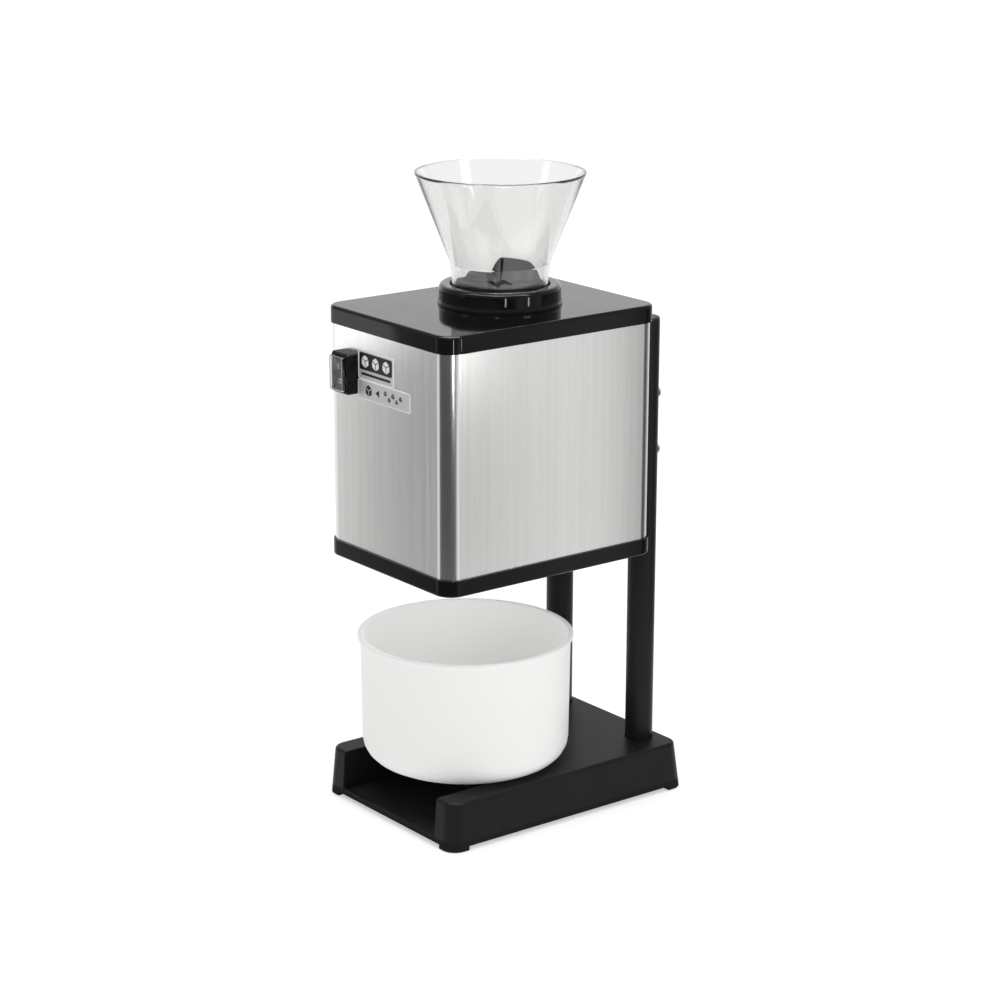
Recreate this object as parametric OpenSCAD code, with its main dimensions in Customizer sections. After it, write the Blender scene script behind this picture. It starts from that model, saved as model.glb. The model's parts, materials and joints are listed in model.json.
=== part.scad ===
// Table-top ice crusher: a moulded base, two tube columns, a steel-wrapped drive
// housing with a clear funnel on top, and a loose bowl under the outlet.
// +Z is up, the switch faces -Y, and the origin is the middle of the footprint.

/* [Base] */
// Width of the base at its foot
base_w = 156.8; // [150:0.1:190]
// Depth of the base at its foot
base_d = 218; // [205:0.5:270]
// Height of the base's deck above the table
base_h = 36.3; // [30:0.1:50]
// Corner radius of the base's foot
base_r = 11; // [8:0.5:16]
// How far each side leans in towards the deck
base_draft = 2.4; // [1:0.1:4]
// How far the back leans in towards the deck
base_rear_draft = 4.3; // [1:0.1:5]
// Wall thickness of the base
base_wall = 3; // [2.5:0.1:4]
// Width of the open bay between the base's arms
bay_w = 113; // [105:0.5:118]
// Depth of the bay, from the front
bay_d = 118; // [90:1:125]
// Height of the bay's floor
bay_floor = 6.6; // [6:0.1:9]
// Height of the corner feet
foot_h = 3.2; // [2.5:0.1:5]
// Length of a corner foot along each side
foot_l = 16; // [13:0.5:22]

/* [Columns] */
// Outside diameter of a column tube
tube_d = 20.5; // [18:0.1:24]
// Wall of a column tube
tube_wall = 1.5; // [1:0.1:2.5]
// Distance of each tube from the middle
tube_x = 47.6; // [44:0.1:52]
// How deep a tube stands in its socket
socket_depth = 22; // [16:0.5:24]

/* [Housing] */
// Width of the steel wrap
body_w = 143.2; // [138:0.1:175]
// Depth of the steel wrap
body_d = 185.9; // [180:0.1:220]
// Corner radius of the steel wrap
body_r = 12; // [8:0.5:18]
// Sheet thickness of the wrap
sheet_t = 0.8; // [0.6:0.1:1.2]
// Height of the housing's underside above the table
body_z = 187.2; // [180:0.5:230]
// Height of the steel that shows between tray and cover
steel_h = 159.4; // [158:0.1:200]
// How far the steel's front stands behind the base's front edge
body_setback = 1.65; // [0:0.05:8]
// Height of the tray's outer band
band_h = 12; // [9:0.5:18]
// Height of the top cover
cover_h = 12.7; // [10:0.1:18]
// How far tray and cover stand out past the steel
lip = 1.5; // [1.2:0.1:3]
// Floor thickness of the tray and roof thickness of the cover
shell_t = 3; // [2.5:0.1:4]

/* [Hopper] */
// Outer radius of the hopper's rim
rim_r = 60.5; // [50:0.5:66]
// Outer radius at the foot of the hopper's neck
neck_r = 33.4; // [32.5:0.1:36]
// How much wider the neck is where it opens into the funnel
neck_flare = 1.9; // [1:0.1:4]
// Wall of the hopper
hopper_wall = 1.8; // [1.4:0.1:2.5]
// Height of the funnel above the neck
funnel_h = 65; // [50:1:90]
// Height of the neck that shows above the collar
neck_h = 14.4; // [10:0.1:24]
// Wall of the collar around the neck
collar_wall = 7.9; // [5:0.1:12]
// Height of the collar
collar_h = 14.3; // [12:0.1:20]
// How far the throat stands behind the middle of the housing
throat_back = 7.4; // [5:0.1:12]
// Inner radius of the ice throat
throat_r = 27.5; // [26:0.5:28]

/* [Bowl] */
// Outer radius of the bowl under its rim
bowl_r = 76.5; // [64:0.1:78]
// How far the bowl's rim stands out
bowl_rim = 2.1; // [1.5:0.1:4]
// How much narrower the bowl is above its bottom corner
bowl_taper = 1.2; // [0.5:0.1:6]
// Radius of the bowl's bottom corner
bowl_corner_r = 16.4; // [12:0.1:20]
// Height of the bowl
bowl_h = 95; // [70:1:110]
// Wall of the bowl
bowl_wall = 2.4; // [2:0.1:4]
// How far the bowl's middle stands behind the base's front edge
bowl_back = 71.2; // [66:0.1:80]

/* [Switch and plates] */
// Width of the switch block
block_w = 21; // [19:0.5:28]
// Height of the switch block
block_h = 29.5; // [28:0.5:36]
// How far the switch block stands out of the steel
block_t = 9; // [7:0.5:12]
// Distance of the block's middle from the housing's middle
block_x = 43; // [36:0.5:46]
// Distance of the block's middle below the cover
block_drop = 31.5; // [26:0.5:60]
// Tilt of the rocker between off and on, each way from level
rocker_tilt = 7; // [4:0.5:9]
// Width of the badge plate
badge_w = 42.4; // [30:0.1:60]
// Height of the badge plate
badge_h = 21.3; // [15:0.1:24]
// Width of the label strip
strip_w = 62; // [40:0.5:70]
// Height of the label strip
strip_h = 13.8; // [10:0.1:18]

/* [Drive] */
// Inside radius of the crushing drum
drum_r = 33; // [32:0.5:35]
// Gap between the blades' tips and the drum
blade_gap = 3; // [2:0.1:6]
// Inside width of the crushing drum
drum_w = 62; // [60:0.5:64]
// Wall of the crushing drum
drum_wall = 4; // [3:0.5:4]
// Distance of the blade shaft below the cover's top
shaft_drop = 71; // [68:0.5:76]
// Radius of the blade shaft
shaft_r = 6; // [5:0.5:7]
// Tooth module of the slow gear pair
slow_module = 1.25; // [1.2:0.05:1.25]
// Tooth module of the fast gear pair
fast_module = 1.0; // [1:0.05:1.1]
// Teeth of both pinions
pinion_teeth = 14; // [14:1:15]
// Teeth of both wheels
wheel_teeth = 56; // [52:1:58]
// Side of the motor's square stator
motor_side = 56; // [50:1:58]
// Length of the motor's lamination stack
stack_l = 36; // [30:1:40]

/* [Hidden] */
$fn = 96;

body_gap = 0.3;         // between pieces on different moving bodies
run_gap = 0.05;         // radial running clearance of a shaft
slip_gap = 0.15;        // radial clearance of a piece that is slipped into place
flat_t = 0.5;           // thickness of plates that are stuck on
foot_pad_h = 1;
boot_t = 3.3;           // how far the switch's rubber boot stands out

// Heights, from the table up
tray_top = body_z + shell_t;
band_top = body_z + band_h;
cover_foot = band_top + steel_h;
cover_top = cover_foot + cover_h;
roof_z = cover_top - shell_t;
collar_top = cover_top + collar_h;
collar_floor = cover_top + 3;
neck_foot = collar_floor + body_gap;
waist_r = neck_r + neck_flare;
collar_bore = waist_r + body_gap;
collar_r = collar_bore + collar_wall;
waist_z = collar_top + neck_h;
hopper_top = waist_z + funnel_h;
bowl_z = base_h + body_gap;
bowl_rim_r = bowl_r + bowl_rim;
bowl_foot_r = bowl_r - bowl_taper;

// Depths. The front reach runs to the switch's boot or the bowl's rim.
front_from_base = max(base_d / 2 - body_setback + block_t + boot_t,
                      base_d / 2 - bowl_back + bowl_rim_r);
base_y = (front_from_base - base_d / 2) / 2;
base_front = base_y - base_d / 2;
body_front = base_front + body_setback;
body_back = body_front + body_d;
body_y = (body_front + body_back) / 2;
throat_y = body_y + throat_back;
bowl_y = base_front + bowl_back;
tube_y = body_back + tube_d / 2 + 0.1;
tube_foot = base_h - socket_depth;
tube_top = cover_foot - 4;
bay_x = bay_w / 2;

// Drive axes. All three shafts run along X; places are measured from the blade shaft.
shaft_z = cover_top - shaft_drop;
pressure_angle = 20;
backlash = 0.16;
slow_centres = slow_module * (pinion_teeth + wheel_teeth) / 2;
fast_centres = fast_module * (pinion_teeth + wheel_teeth) / 2;
motor_dy = -62;
motor_dz = -40;
motor_reach = norm([motor_dy, motor_dz]);
motor_angle = atan2(motor_dz, motor_dy);
idler_cos = (pow(slow_centres, 2) + pow(motor_reach, 2) - pow(fast_centres, 2))
            / (2 * slow_centres * motor_reach);
idler_angle = motor_angle - acos(idler_cos);
idler_dy = slow_centres * cos(idler_angle);
idler_dz = slow_centres * sin(idler_angle);
mesh_angle = atan2(motor_dz - idler_dz, motor_dy - idler_dy);

// Stations along the drive's X axis
drum_x = drum_w / 2 + drum_wall;      // outside of the drum's side walls
plate_t = 3;
plate_x = drum_x + plate_t;           // outer face of the gear plate
gear_w = 9;
slow_x = plate_x + 2;                 // near face of the slow pair
fast_x = slow_x + gear_w + 2;         // near face of the fast pair
fast_w = 8;
cover_x = fast_x + fast_w + 6;        // outer face of the gear cover
cover_wall = 2.5;
axle_r = 4;                           // motor shaft and idler shaft
bush_r = 9;
cap_l = 13;
motor_x1 = drum_x - cap_l;            // front end of the lamination stack
motor_x0 = motor_x1 - stack_l;        // rear end of the lamination stack
bearing_l = 6;
rotor_r = 15;
winding_r0 = 16.5;
winding_r1 = 24.5;
fan_x = motor_x0 - cap_l - 10;
fan_w = 8;

// Blades and the comb they sweep through
blade_r = drum_r - blade_gap;
blade_count = 5;
blade_pitch = 10;
blade_t = 4;
comb_t = 3;
spacer_r = 10.5;
comb_h = 14;
comb_bar_y = drum_r + 0.4;

// Fasteners
screw_r = 2;
screw_head_r = 3.8;
column_screw_z = [cover_foot - 59, cover_foot - 101.3];
column_screw_r = 2.5;
column_head_r = 4.6;
bar_t = 5;
tie_inset = 15;

// Interlock
plunger_r = 1.3;
plunger_back = neck_r - hopper_wall / 2;
throat_wall = 2.5;
interlock_w = 28;
interlock_d = 10;
interlock_h = 16;

// ---------- shared shapes ----------

// A rounded rectangle centred on the origin
module rrect(w, d, r) {
    square([w - 2 * r, d], center = true);
    square([w, d - 2 * r], center = true);
    for (x = [-1, 1], y = [-1, 1])
        translate([x * (w / 2 - r), y * (d / 2 - r)]) circle(r);
}

// An upright slab with rounded corners and a softened top or bottom edge
module soft_slab(w, d, h, r, soften, top = true) {
    hull() {
        translate([0, 0, top ? 0 : soften])
            linear_extrude(h - soften) rrect(w, d, r, $fn = 32);
        translate([0, 0, top ? soften : 0])
            linear_extrude(h - soften)
                rrect(w - 2 * soften, d - 2 * soften, r - soften, $fn = 32);
    }
}

// Stands its children's Z axis along +X at a place
module along_x(x, y, z) {
    translate([x, y, z]) rotate([90, 0, 90]) children();
}

// Stands its children's Z axis along +Y at a place
module along_y(x, y, z) {
    translate([x, y, z]) rotate([-90, 0, 0]) children();
}

module tube(h, outer, inner) {
    difference() {
        cylinder(h = h, r = outer);
        translate([0, 0, -1]) cylinder(h = h + 2, r = inner);
    }
}

// A screw with its head's seat at Z 0 and its shank down to -length
module pan_screw(length, r, head_r, head_h) {
    translate([0, 0, -length]) cylinder(h = length, r = r, $fn = 32);
    difference() {
        union() {
            cylinder(h = head_h * 0.6, r = head_r, $fn = 32);
            translate([0, 0, head_h * 0.6])
                cylinder(h = head_h * 0.4, r1 = head_r, r2 = head_r * 0.7, $fn = 32);
        }
        for (a = [0, 90])
            rotate([0, 0, a])
                translate([-head_r * 0.55, -0.4, head_h - 1])
                    cube([head_r * 1.1, 0.8, 2]);
    }
}

function involute(a) = tan(a) * 180 / PI - a;

// Half the angle that a tooth fills at radius r
function tooth_half(m, teeth, r) =
    let (pitch_r = m * teeth / 2,
         base_r = pitch_r * cos(pressure_angle),
         a = acos(min(1, base_r / max(r, base_r))))
    90 / teeth - backlash / 2 / pitch_r * 90 / PI
    + involute(pressure_angle) - involute(a);

// A spur gear's outline, with one tooth centred on +X
module gear_outline(m, teeth) {
    pitch_r = m * teeth / 2;
    root_r = pitch_r - 1.15 * m;
    tip_r = pitch_r + 0.85 * m;
    start_r = max(root_r + 0.1, pitch_r * cos(pressure_angle));
    steps = 4;
    radii = concat([root_r], [for (i = [0:steps]) start_r + (tip_r - start_r) * i / steps]);
    last = len(radii) - 1;
    polygon([for (t = [0:teeth - 1], side = [-1, 1], i = [0:last])
        let (r = radii[side < 0 ? i : last - i],
             a = 360 * t / teeth + side * tooth_half(m, teeth, r))
        [r * cos(a), r * sin(a)]]);
}

// ---------- base and columns ----------

module base_outer(inset) {
    bottom_w = base_w - 2 * inset;
    bottom_d = base_d - 2 * inset;
    top_w = bottom_w - 2 * base_draft;
    top_d = bottom_d - base_draft - base_rear_draft;
    top_y = base_y + (base_draft - base_rear_draft) / 2;
    edge = 1.6;
    hull() {
        translate([0, base_y, foot_h])
            linear_extrude(0.1) rrect(bottom_w, bottom_d, base_r - inset, $fn = 32);
        translate([0, top_y, base_h - inset - edge])
            linear_extrude(0.1) rrect(top_w, top_d, base_r - inset, $fn = 32);
        translate([0, top_y, base_h - inset - 0.1])
            linear_extrude(0.1)
                rrect(top_w - 2 * edge, top_d - 2 * edge, base_r - inset - edge, $fn = 32);
    }
}

module base() {
    color("#1b1b1c")
    difference() {
        union() {
            difference() {
                base_outer(0);
                // the open bay, behind a low sill
                translate([-bay_x, base_front + 4, bay_floor])
                    cube([bay_w, bay_d - 4, base_h]);
                translate([-bay_x, base_front - 1, bay_floor + 1.4])
                    cube([bay_w, 6, base_h]);
                // the hollow underside, left whole around the bay
                difference() {
                    translate([0, 0, -0.2]) base_outer(base_wall);
                    translate([-bay_x - base_wall, base_front - 1, -1])
                        cube([bay_w + 2 * base_wall, bay_d + 1 + base_wall, base_h + 2]);
                }
                translate([-bay_x + 1, base_front + base_wall, -1])
                    cube([bay_w - 2, bay_d - base_wall - 1, 1 + bay_floor - base_wall]);
            }
            for (s = [-1, 1])
                translate([s * tube_x, tube_y, foot_h])
                    cylinder(h = base_h - foot_h - 1, r = tube_d / 2 + base_wall);
            corner_feet();
        }
        for (s = [-1, 1]) translate([s * tube_x, tube_y, 0]) {
            translate([0, 0, tube_foot]) cylinder(h = base_h, r = tube_d / 2 + slip_gap);
            translate([0, 0, -1]) cylinder(h = base_h, r = column_screw_r + 0.25, $fn = 48);
        }
        foot_places() translate([0, 0, -1])
            cylinder(h = 1 + foot_pad_h + 0.01, r = 5.2, $fn = 48);
    }
}

// The corners of the base's foot, kept as four low feet
module corner_feet() {
    reach = foot_l;
    intersection() {
        translate([0, base_y, 0.3])
            linear_extrude(foot_h + 0.2) rrect(base_w - 1, base_d - 1, base_r - 0.5);
        for (x = [-1, 1], y = [-1, 1])
            translate([x * (base_w - reach) / 2, base_y + y * (base_d - reach) / 2, 2])
                cube([reach, reach, 6], center = true);
    }
}

module foot_places() {
    for (x = [-1, 1], y = [-1, 1])
        translate([x * (base_w / 2 - 8), base_y + y * (base_d / 2 - 8), 0]) children();
}

module foot_pads() {
    color("#101010")
        foot_places() cylinder(h = foot_pad_h, r = 5, $fn = 48);
}

module column(side) {
    color("#161617")
    difference() {
        translate([side * tube_x, tube_y, tube_foot])
            tube(tube_top - tube_foot, tube_d / 2, tube_d / 2 - tube_wall);
        for (z = column_screw_z)
            along_y(side * tube_x, tube_y - tube_d, z)
                cylinder(h = 2 * tube_d, r = column_screw_r + 0.2, $fn = 48);
    }
}

module column_left() { column(-1); }

module column_right() { column(1); }

// Threaded plugs pressed in the tubes' feet
module column_inserts() {
    color("#8c8c8c")
    for (s = [-1, 1])
        translate([s * tube_x, tube_y, tube_foot])
            tube(14, tube_d / 2 - tube_wall, column_screw_r);
}

module column_base_screws() {
    color("#9a9a9c")
    for (s = [-1, 1])
        translate([s * tube_x, tube_y, foot_h]) mirror([0, 0, 1])
            pan_screw(tube_foot - foot_h + 10, column_screw_r, column_head_r, 2.4);
}

module column_caps() {
    color("#1a1a1a")
    for (s = [-1, 1])
        translate([s * tube_x, tube_y, tube_top]) {
            cylinder(h = 2.5, r = tube_d / 2 - 0.2);
            translate([0, 0, -8]) tube(8, tube_d / 2 - tube_wall, tube_d / 2 - tube_wall - 1.5);
        }
}

bar_y = body_back - sheet_t * 2 - bar_t;

// Tapped bars inside the back of the housing, one behind each column
module column_bars() {
    color("#9b9b98")
    for (s = [-1, 1])
        difference() {
            translate([s * tube_x - 8, bar_y, tray_top + 6])
                cube([16, bar_t, steel_h - 20]);
            for (z = column_screw_z)
                along_y(s * tube_x, bar_y - 1, z)
                    cylinder(h = bar_t + 2, r = column_screw_r, $fn = 48);
        }
}

module column_screws() {
    color("#b4b4b6")
    for (s = [-1, 1], z = column_screw_z)
        along_y(s * tube_x, tube_y + tube_d / 2, z)
            pan_screw(tube_d + 0.1 + 2 * sheet_t + bar_t, column_screw_r, column_head_r, 2.6);
}

// ---------- housing ----------

wrap_z = tray_top;
wrap_h = roof_z - wrap_z;
panel_w = body_w - 2 * body_r - 8;
lap = 6;
screw_hole_h = 40;

module steel_wrap() {
    color("#c9c9c7")
    difference() {
        translate([0, body_y, wrap_z])
            linear_extrude(wrap_h) rrect(body_w, body_d, body_r);
        translate([0, body_y, wrap_z - 1])
            linear_extrude(wrap_h + 2)
                rrect(body_w - 2 * sheet_t, body_d - 2 * sheet_t, body_r - sheet_t);
        // the open back between the two returns
        translate([-panel_w / 2 + lap, body_back - 2 * sheet_t, wrap_z - 1])
            cube([panel_w - 2 * lap, 4 * sheet_t, wrap_h + 2]);
        column_screw_holes();
        switch_hole(slip_gap);
    }
}

module column_screw_holes() {
    for (s = [-1, 1], z = column_screw_z)
        along_y(s * tube_x, body_back - screw_hole_h / 2, z)
            cylinder(h = screw_hole_h, r = column_screw_r + 0.2, $fn = 48);
}

module rear_panel() {
    slot_w = 54;
    slot_h = 3;
    slot_pitch = 8;
    slots = 9;
    color("#c4c4c2")
    difference() {
        translate([-panel_w / 2, body_back - 2 * sheet_t, wrap_z])
            cube([panel_w, sheet_t, wrap_h]);
        for (i = [0:slots - 1])
            translate([-slot_w / 2, body_back - 5, band_top + 70 + i * slot_pitch])
                cube([slot_w, 10, slot_h]);
        along_y(0, body_back - 5, grommet_z)
            cylinder(h = 10, r = grommet_seat_r);
        column_screw_holes();
    }
}

module tray_outline(grow) {
    rrect(body_w + 2 * grow, body_d + 2 * grow, body_r + grow, $fn = 64);
}

chute_w = drum_w + 2;
chute_d = 48;
chute_wall = 2.5;
chute_drop = 6;

module bottom_tray() {
    slot_w = 40;
    slot_h = 4;
    slots = 4;
    color("#151515")
    difference() {
        translate([0, body_y, body_z])
            soft_slab(body_w + 2 * lip, body_d + 2 * lip, band_h, body_r + lip, 1.4, false);
        translate([0, body_y, tray_top])
            linear_extrude(band_h) tray_outline(0.05);
        translate([0, throat_y, body_z - 1])
            linear_extrude(2 + shell_t) rrect(chute_w + 0.2, chute_d + 0.2, 6);
        for (i = [0:slots - 1])
            translate([-slot_w / 2, body_front + 22 + i * 9, body_z - 1])
                cube([slot_w, slot_h, shell_t + 2]);
        for (s = [-1, 1])
            translate([s * tube_x, tube_y, body_z - 1])
                cylinder(h = band_h + 2, r = tube_d / 2 + 0.3);
        tie_places() translate([0, 0, body_z - 1])
            cylinder(h = shell_t + 2, r = screw_r + 0.2, $fn = 32);
    }
}

module tie_places() {
    for (x = [-1, 1], y = [body_front + tie_inset, body_back - tie_inset])
        translate([x * (body_w / 2 - tie_inset), y, 0]) children();
}

// Long screws that pull the cover down onto the wrap and the tray
module tie_screws() {
    color("#9a9a9c")
    tie_places() translate([0, 0, body_z]) mirror([0, 0, 1])
        pan_screw(roof_z - body_z - 6, screw_r, screw_head_r, 2);
}

module top_cover() {
    boss_h = 16;
    color("#0d0d0d")
    difference() {
        union() {
            difference() {
                translate([0, body_y, cover_foot])
                    soft_slab(body_w + 2 * lip, body_d + 2 * lip, cover_h, body_r + lip, 1.8);
                translate([0, body_y, cover_foot - 1])
                    linear_extrude(roof_z - cover_foot + 1) tray_outline(0.05);
            }
            tie_places() translate([0, 0, roof_z - boss_h])
                cylinder(h = boss_h + 1, r = 5, $fn = 48);
        }
        translate([0, throat_y, roof_z - 1]) cylinder(h = shell_t + 2, r = throat_r);
        tie_places() translate([0, 0, roof_z - boss_h - 1])
            cylinder(h = boss_h - 5, r = screw_r, $fn = 32);
        translate([0, throat_y + plunger_back, roof_z - 1])
            cylinder(h = shell_t + 2, r = plunger_r + run_gap, $fn = 32);
    }
}

// ---------- hopper, collar and bowl ----------

function arc(cx, cy, r, a0, a1, n) =
    [for (i = [0:n]) let (a = a0 + (a1 - a0) * i / n) [cx + r * cos(a), cy + r * sin(a)]];

// The ring that the hopper's neck drops into
module hopper_collar() {
    edge = 2.6;
    foot = 0.9;
    color("#0c0c0c")
    difference() {
        translate([0, throat_y, 0])
            rotate_extrude()
                polygon(concat(
                    [[throat_r + 0.5, cover_top], [collar_r + foot, cover_top],
                     [collar_r + foot, cover_top + 1.2], [collar_r + 0.4, cover_top + 2.4]],
                    arc(collar_r - edge, collar_top - edge, edge, 0, 90, 6),
                    [[collar_bore + 0.8, collar_top], [collar_bore, collar_top - 0.8],
                     [collar_bore, collar_floor], [throat_r + 0.5, collar_floor]]));
        translate([0, throat_y + plunger_back, cover_top - 1])
            cylinder(h = collar_h, r = plunger_r + run_gap, $fn = 32);
    }
}

guard_r = neck_r - hopper_wall - 0.9;
guard_wall = 2;
guard_disc_t = 1.8;

// Rubber splash guard: a cuff inside the neck with a slit disc across it
module splash_guard() {
    disc_z = collar_top + 0.5;
    slit = 1.2;
    petals = 4;
    color("#1d1d1d")
    translate([0, throat_y, 0]) {
        translate([0, 0, collar_floor])
            tube(disc_z + guard_disc_t - collar_floor, guard_r, guard_r - guard_wall);
        translate([0, 0, disc_z])
        difference() {
            cylinder(h = guard_disc_t, r = guard_r - guard_wall);
            translate([0, 0, -1]) cylinder(h = guard_disc_t + 2, r = 9);
            for (i = [0:petals - 1])
                rotate([0, 0, 45 + i * 360 / petals])
                    translate([0, -slit / 2, -1])
                        cube([guard_r - guard_wall - 4, slit, guard_disc_t + 2]);
        }
    }
}

module hopper() {
    w = hopper_wall;
    bead = 0.7;
    color([0.88, 0.9, 0.91, 0.35])
    translate([0, throat_y, 0])
        rotate_extrude()
            polygon([
                [neck_r - w, neck_foot], [neck_r, neck_foot],
                [waist_r, waist_z - 1], [waist_r + 0.6, waist_z + 0.6],
                [rim_r - bead, hopper_top - 2], [rim_r, hopper_top - 1.6],
                [rim_r, hopper_top], [rim_r - w, hopper_top],
                [waist_r + 0.6 - w, waist_z + 1.2], [waist_r - w, waist_z - 1]]);
}

bowl_top = bowl_z + bowl_h;
bowl_flat_r = bowl_foot_r - bowl_corner_r;

module bowl() {
    w = bowl_wall;
    lip_h = 3;
    color("#f0f0ee")
    translate([0, bowl_y, 0])
        rotate_extrude()
            polygon(concat(
                [[0, bowl_z]],
                arc(bowl_flat_r, bowl_z + bowl_corner_r, bowl_corner_r, -90, 0, 8),
                [[bowl_r, bowl_top - lip_h], [bowl_rim_r, bowl_top - lip_h + 0.8]],
                arc(bowl_rim_r - 1, bowl_top - 1, 1, 0, 90, 3),
                [[bowl_r - w + 0.6, bowl_top], [bowl_r - w, bowl_top - 0.8]],
                arc(bowl_flat_r, bowl_z + bowl_corner_r, bowl_corner_r - w, 0, -90, 8),
                [[0, bowl_z + w]]));
}

// ---------- crushing drum ----------

module drum_solid(grow, half_w) {
    along_x(-half_w, throat_y, shaft_z)
        cylinder(h = 2 * half_w, r = drum_r + grow);
}

chute_top = shaft_z - drum_r - drum_wall - 6;
outlet_w = drum_w;
outlet_d = chute_d - 2 * drum_wall;

module crusher_drum() {
    color("#a9abad")
    difference() {
        union() {
            drum_solid(drum_wall, drum_x);
            translate([0, throat_y, shaft_z])
                cylinder(h = roof_z - shaft_z, r = throat_r + throat_wall);
            translate([-drum_x, throat_y - chute_d / 2, chute_top])
                cube([2 * drum_x, chute_d, shaft_z - chute_top]);
        }
        drum_solid(0, drum_w / 2);
        translate([0, throat_y, shaft_z])
            cylinder(h = roof_z, r = throat_r);
        translate([-outlet_w / 2, throat_y - outlet_d / 2, chute_top - 1])
            cube([outlet_w, outlet_d, shaft_z - chute_top]);
        along_x(-drum_x - 1, throat_y, shaft_z)
            cylinder(h = 2 * drum_x + 2, r = bush_r);
        // window for the comb's bar
        translate([-drum_w / 2, throat_y + drum_r - 5, shaft_z - comb_h / 2])
            cube([drum_w, drum_wall + 8, comb_h]);
    }
}

comb_flange_y = drum_r + drum_wall;

// Fixed steel comb: fingers stand in the gaps between the turning blades
module breaker_comb() {
    finger_x = (blade_count + 1) / 2 - 0.5;
    finger_r0 = spacer_r + 1;
    color("#b9bbbd")
    translate([0, throat_y, shaft_z]) {
        translate([-drum_w / 2, comb_bar_y, -comb_h / 2])
            cube([drum_w, comb_flange_y - comb_bar_y, comb_h]);
        difference() {
            translate([-drum_w / 2, comb_flange_y, -comb_h / 2 - 8])
                cube([drum_w, 3, comb_h + 16]);
            for (x = [-1, 1], z = [-1, 1])
                along_y(x * (drum_w / 2 - 8), comb_flange_y - 1, z * (comb_h / 2 + 4))
                    cylinder(h = 5, r = screw_r, $fn = 32);
        }
        for (i = [-finger_x:finger_x])
            translate([i * blade_pitch - comb_t / 2, finger_r0, -comb_h / 2])
                cube([comb_t, comb_bar_y - finger_r0, comb_h]);
    }
}

module comb_screws() {
    color("#8f8f91")
    for (x = [-1, 1], z = [-1, 1])
        along_y(x * (drum_w / 2 - 8), throat_y + comb_flange_y + 3, shaft_z + z * (comb_h / 2 + 4))
            pan_screw(3, screw_r, screw_head_r, 2);
}

// The straight chute from the drum down through the tray
module outlet_chute() {
    color("#222222")
    translate([0, throat_y, 0])
    difference() {
        union() {
            translate([0, 0, body_z - chute_drop])
                linear_extrude(chute_top - body_z + chute_drop) rrect(chute_w, chute_d, 6);
            translate([0, 0, chute_top - 3])
                linear_extrude(3) rrect(2 * drum_x, chute_d + 4, 6);
        }
        translate([0, 0, body_z - chute_drop - 1])
            linear_extrude(chute_top)
                rrect(chute_w - 2 * chute_wall, chute_d - 2 * chute_wall, 4);
    }
}

// ---------- blades and their shaft ----------

shaft_x0 = -drum_x - 8;
shaft_x1 = cover_x - cover_wall - 3;

module shaft_bushes() {
    color("#b08d57")
    for (s = [-1, 1])
        translate([s > 0 ? drum_w / 2 : -drum_x - plate_t, throat_y, shaft_z])
            rotate([90, 0, 90])
                tube(drum_wall + plate_t, bush_r, shaft_r + run_gap);
}

module blade_shaft() {
    groove = 0.6;
    color("#9fa1a4")
    difference() {
        along_x(shaft_x0, throat_y, shaft_z)
            cylinder(h = shaft_x1 - shaft_x0, r = shaft_r);
        for (x = circlip_x)
            along_x(x, throat_y, shaft_z) tube(1.1, shaft_r + 1, shaft_r - groove);
    }
}

circlip_x = [-drum_x - plate_t - 1.6, slow_x + gear_w + 0.3];

module shaft_circlips() {
    color("#6f6f72")
    for (x = circlip_x)
        along_x(x, throat_y, shaft_z)
            difference() {
                tube(1, shaft_r + 2, shaft_r - 0.6);
                translate([0, -1.5, -1]) cube([shaft_r + 3, 3, 3]);
            }
}

// One crushing blade: a hub with hooked arms
module blade_outline() {
    arms = 3;
    hub_r = 12;
    difference() {
        polygon([for (i = [0:arms - 1])
                 for (p = [[hub_r, 0], [blade_r, 20], [blade_r, 34], [hub_r + 2, 62]])
                 let (a = i * 360 / arms + p[1]) [p[0] * cos(a), p[0] * sin(a)]]);
        circle(shaft_r);
    }
}

module crusher_blades() {
    twist = 24;
    first = -(blade_count - 1) / 2;
    color("#c2c4c6")
    for (i = [0:blade_count - 1])
        along_x((first + i) * blade_pitch - blade_t / 2, throat_y, shaft_z)
            rotate([0, 0, i * twist]) linear_extrude(blade_t) blade_outline();
}

// Rings between the blades, and one long ring at each end
module blade_spacers() {
    first = -(blade_count - 1) / 2;
    ring_l = blade_pitch - blade_t;
    end_l = drum_w / 2 - 0.5 - blade_pitch * (blade_count - 1) / 2 - blade_t / 2;
    color("#8e9093")
    for (i = [0:blade_count])
        let (end = i == 0 || i == blade_count,
             x = i == 0 ? -drum_w / 2 + 0.5
                        : (first + i - 1) * blade_pitch + blade_t / 2)
        along_x(x, throat_y, shaft_z)
            tube(end ? end_l : ring_l, spacer_r, shaft_r);
}

// ---------- gears ----------

module drive_gear() {
    color("#d8d3c3")
    along_x(slow_x, throat_y, shaft_z)
        rotate([0, 0, idler_angle])
            linear_extrude(gear_w)
                difference() {
                    gear_outline(slow_module, wheel_teeth);
                    circle(shaft_r);
                    for (i = [0:5])
                        rotate([0, 0, i * 60]) translate([slow_module * wheel_teeth * 0.29, 0])
                            circle(5);
                }
}

idler_y = throat_y + idler_dy;
idler_z = shaft_z + idler_dz;

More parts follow.
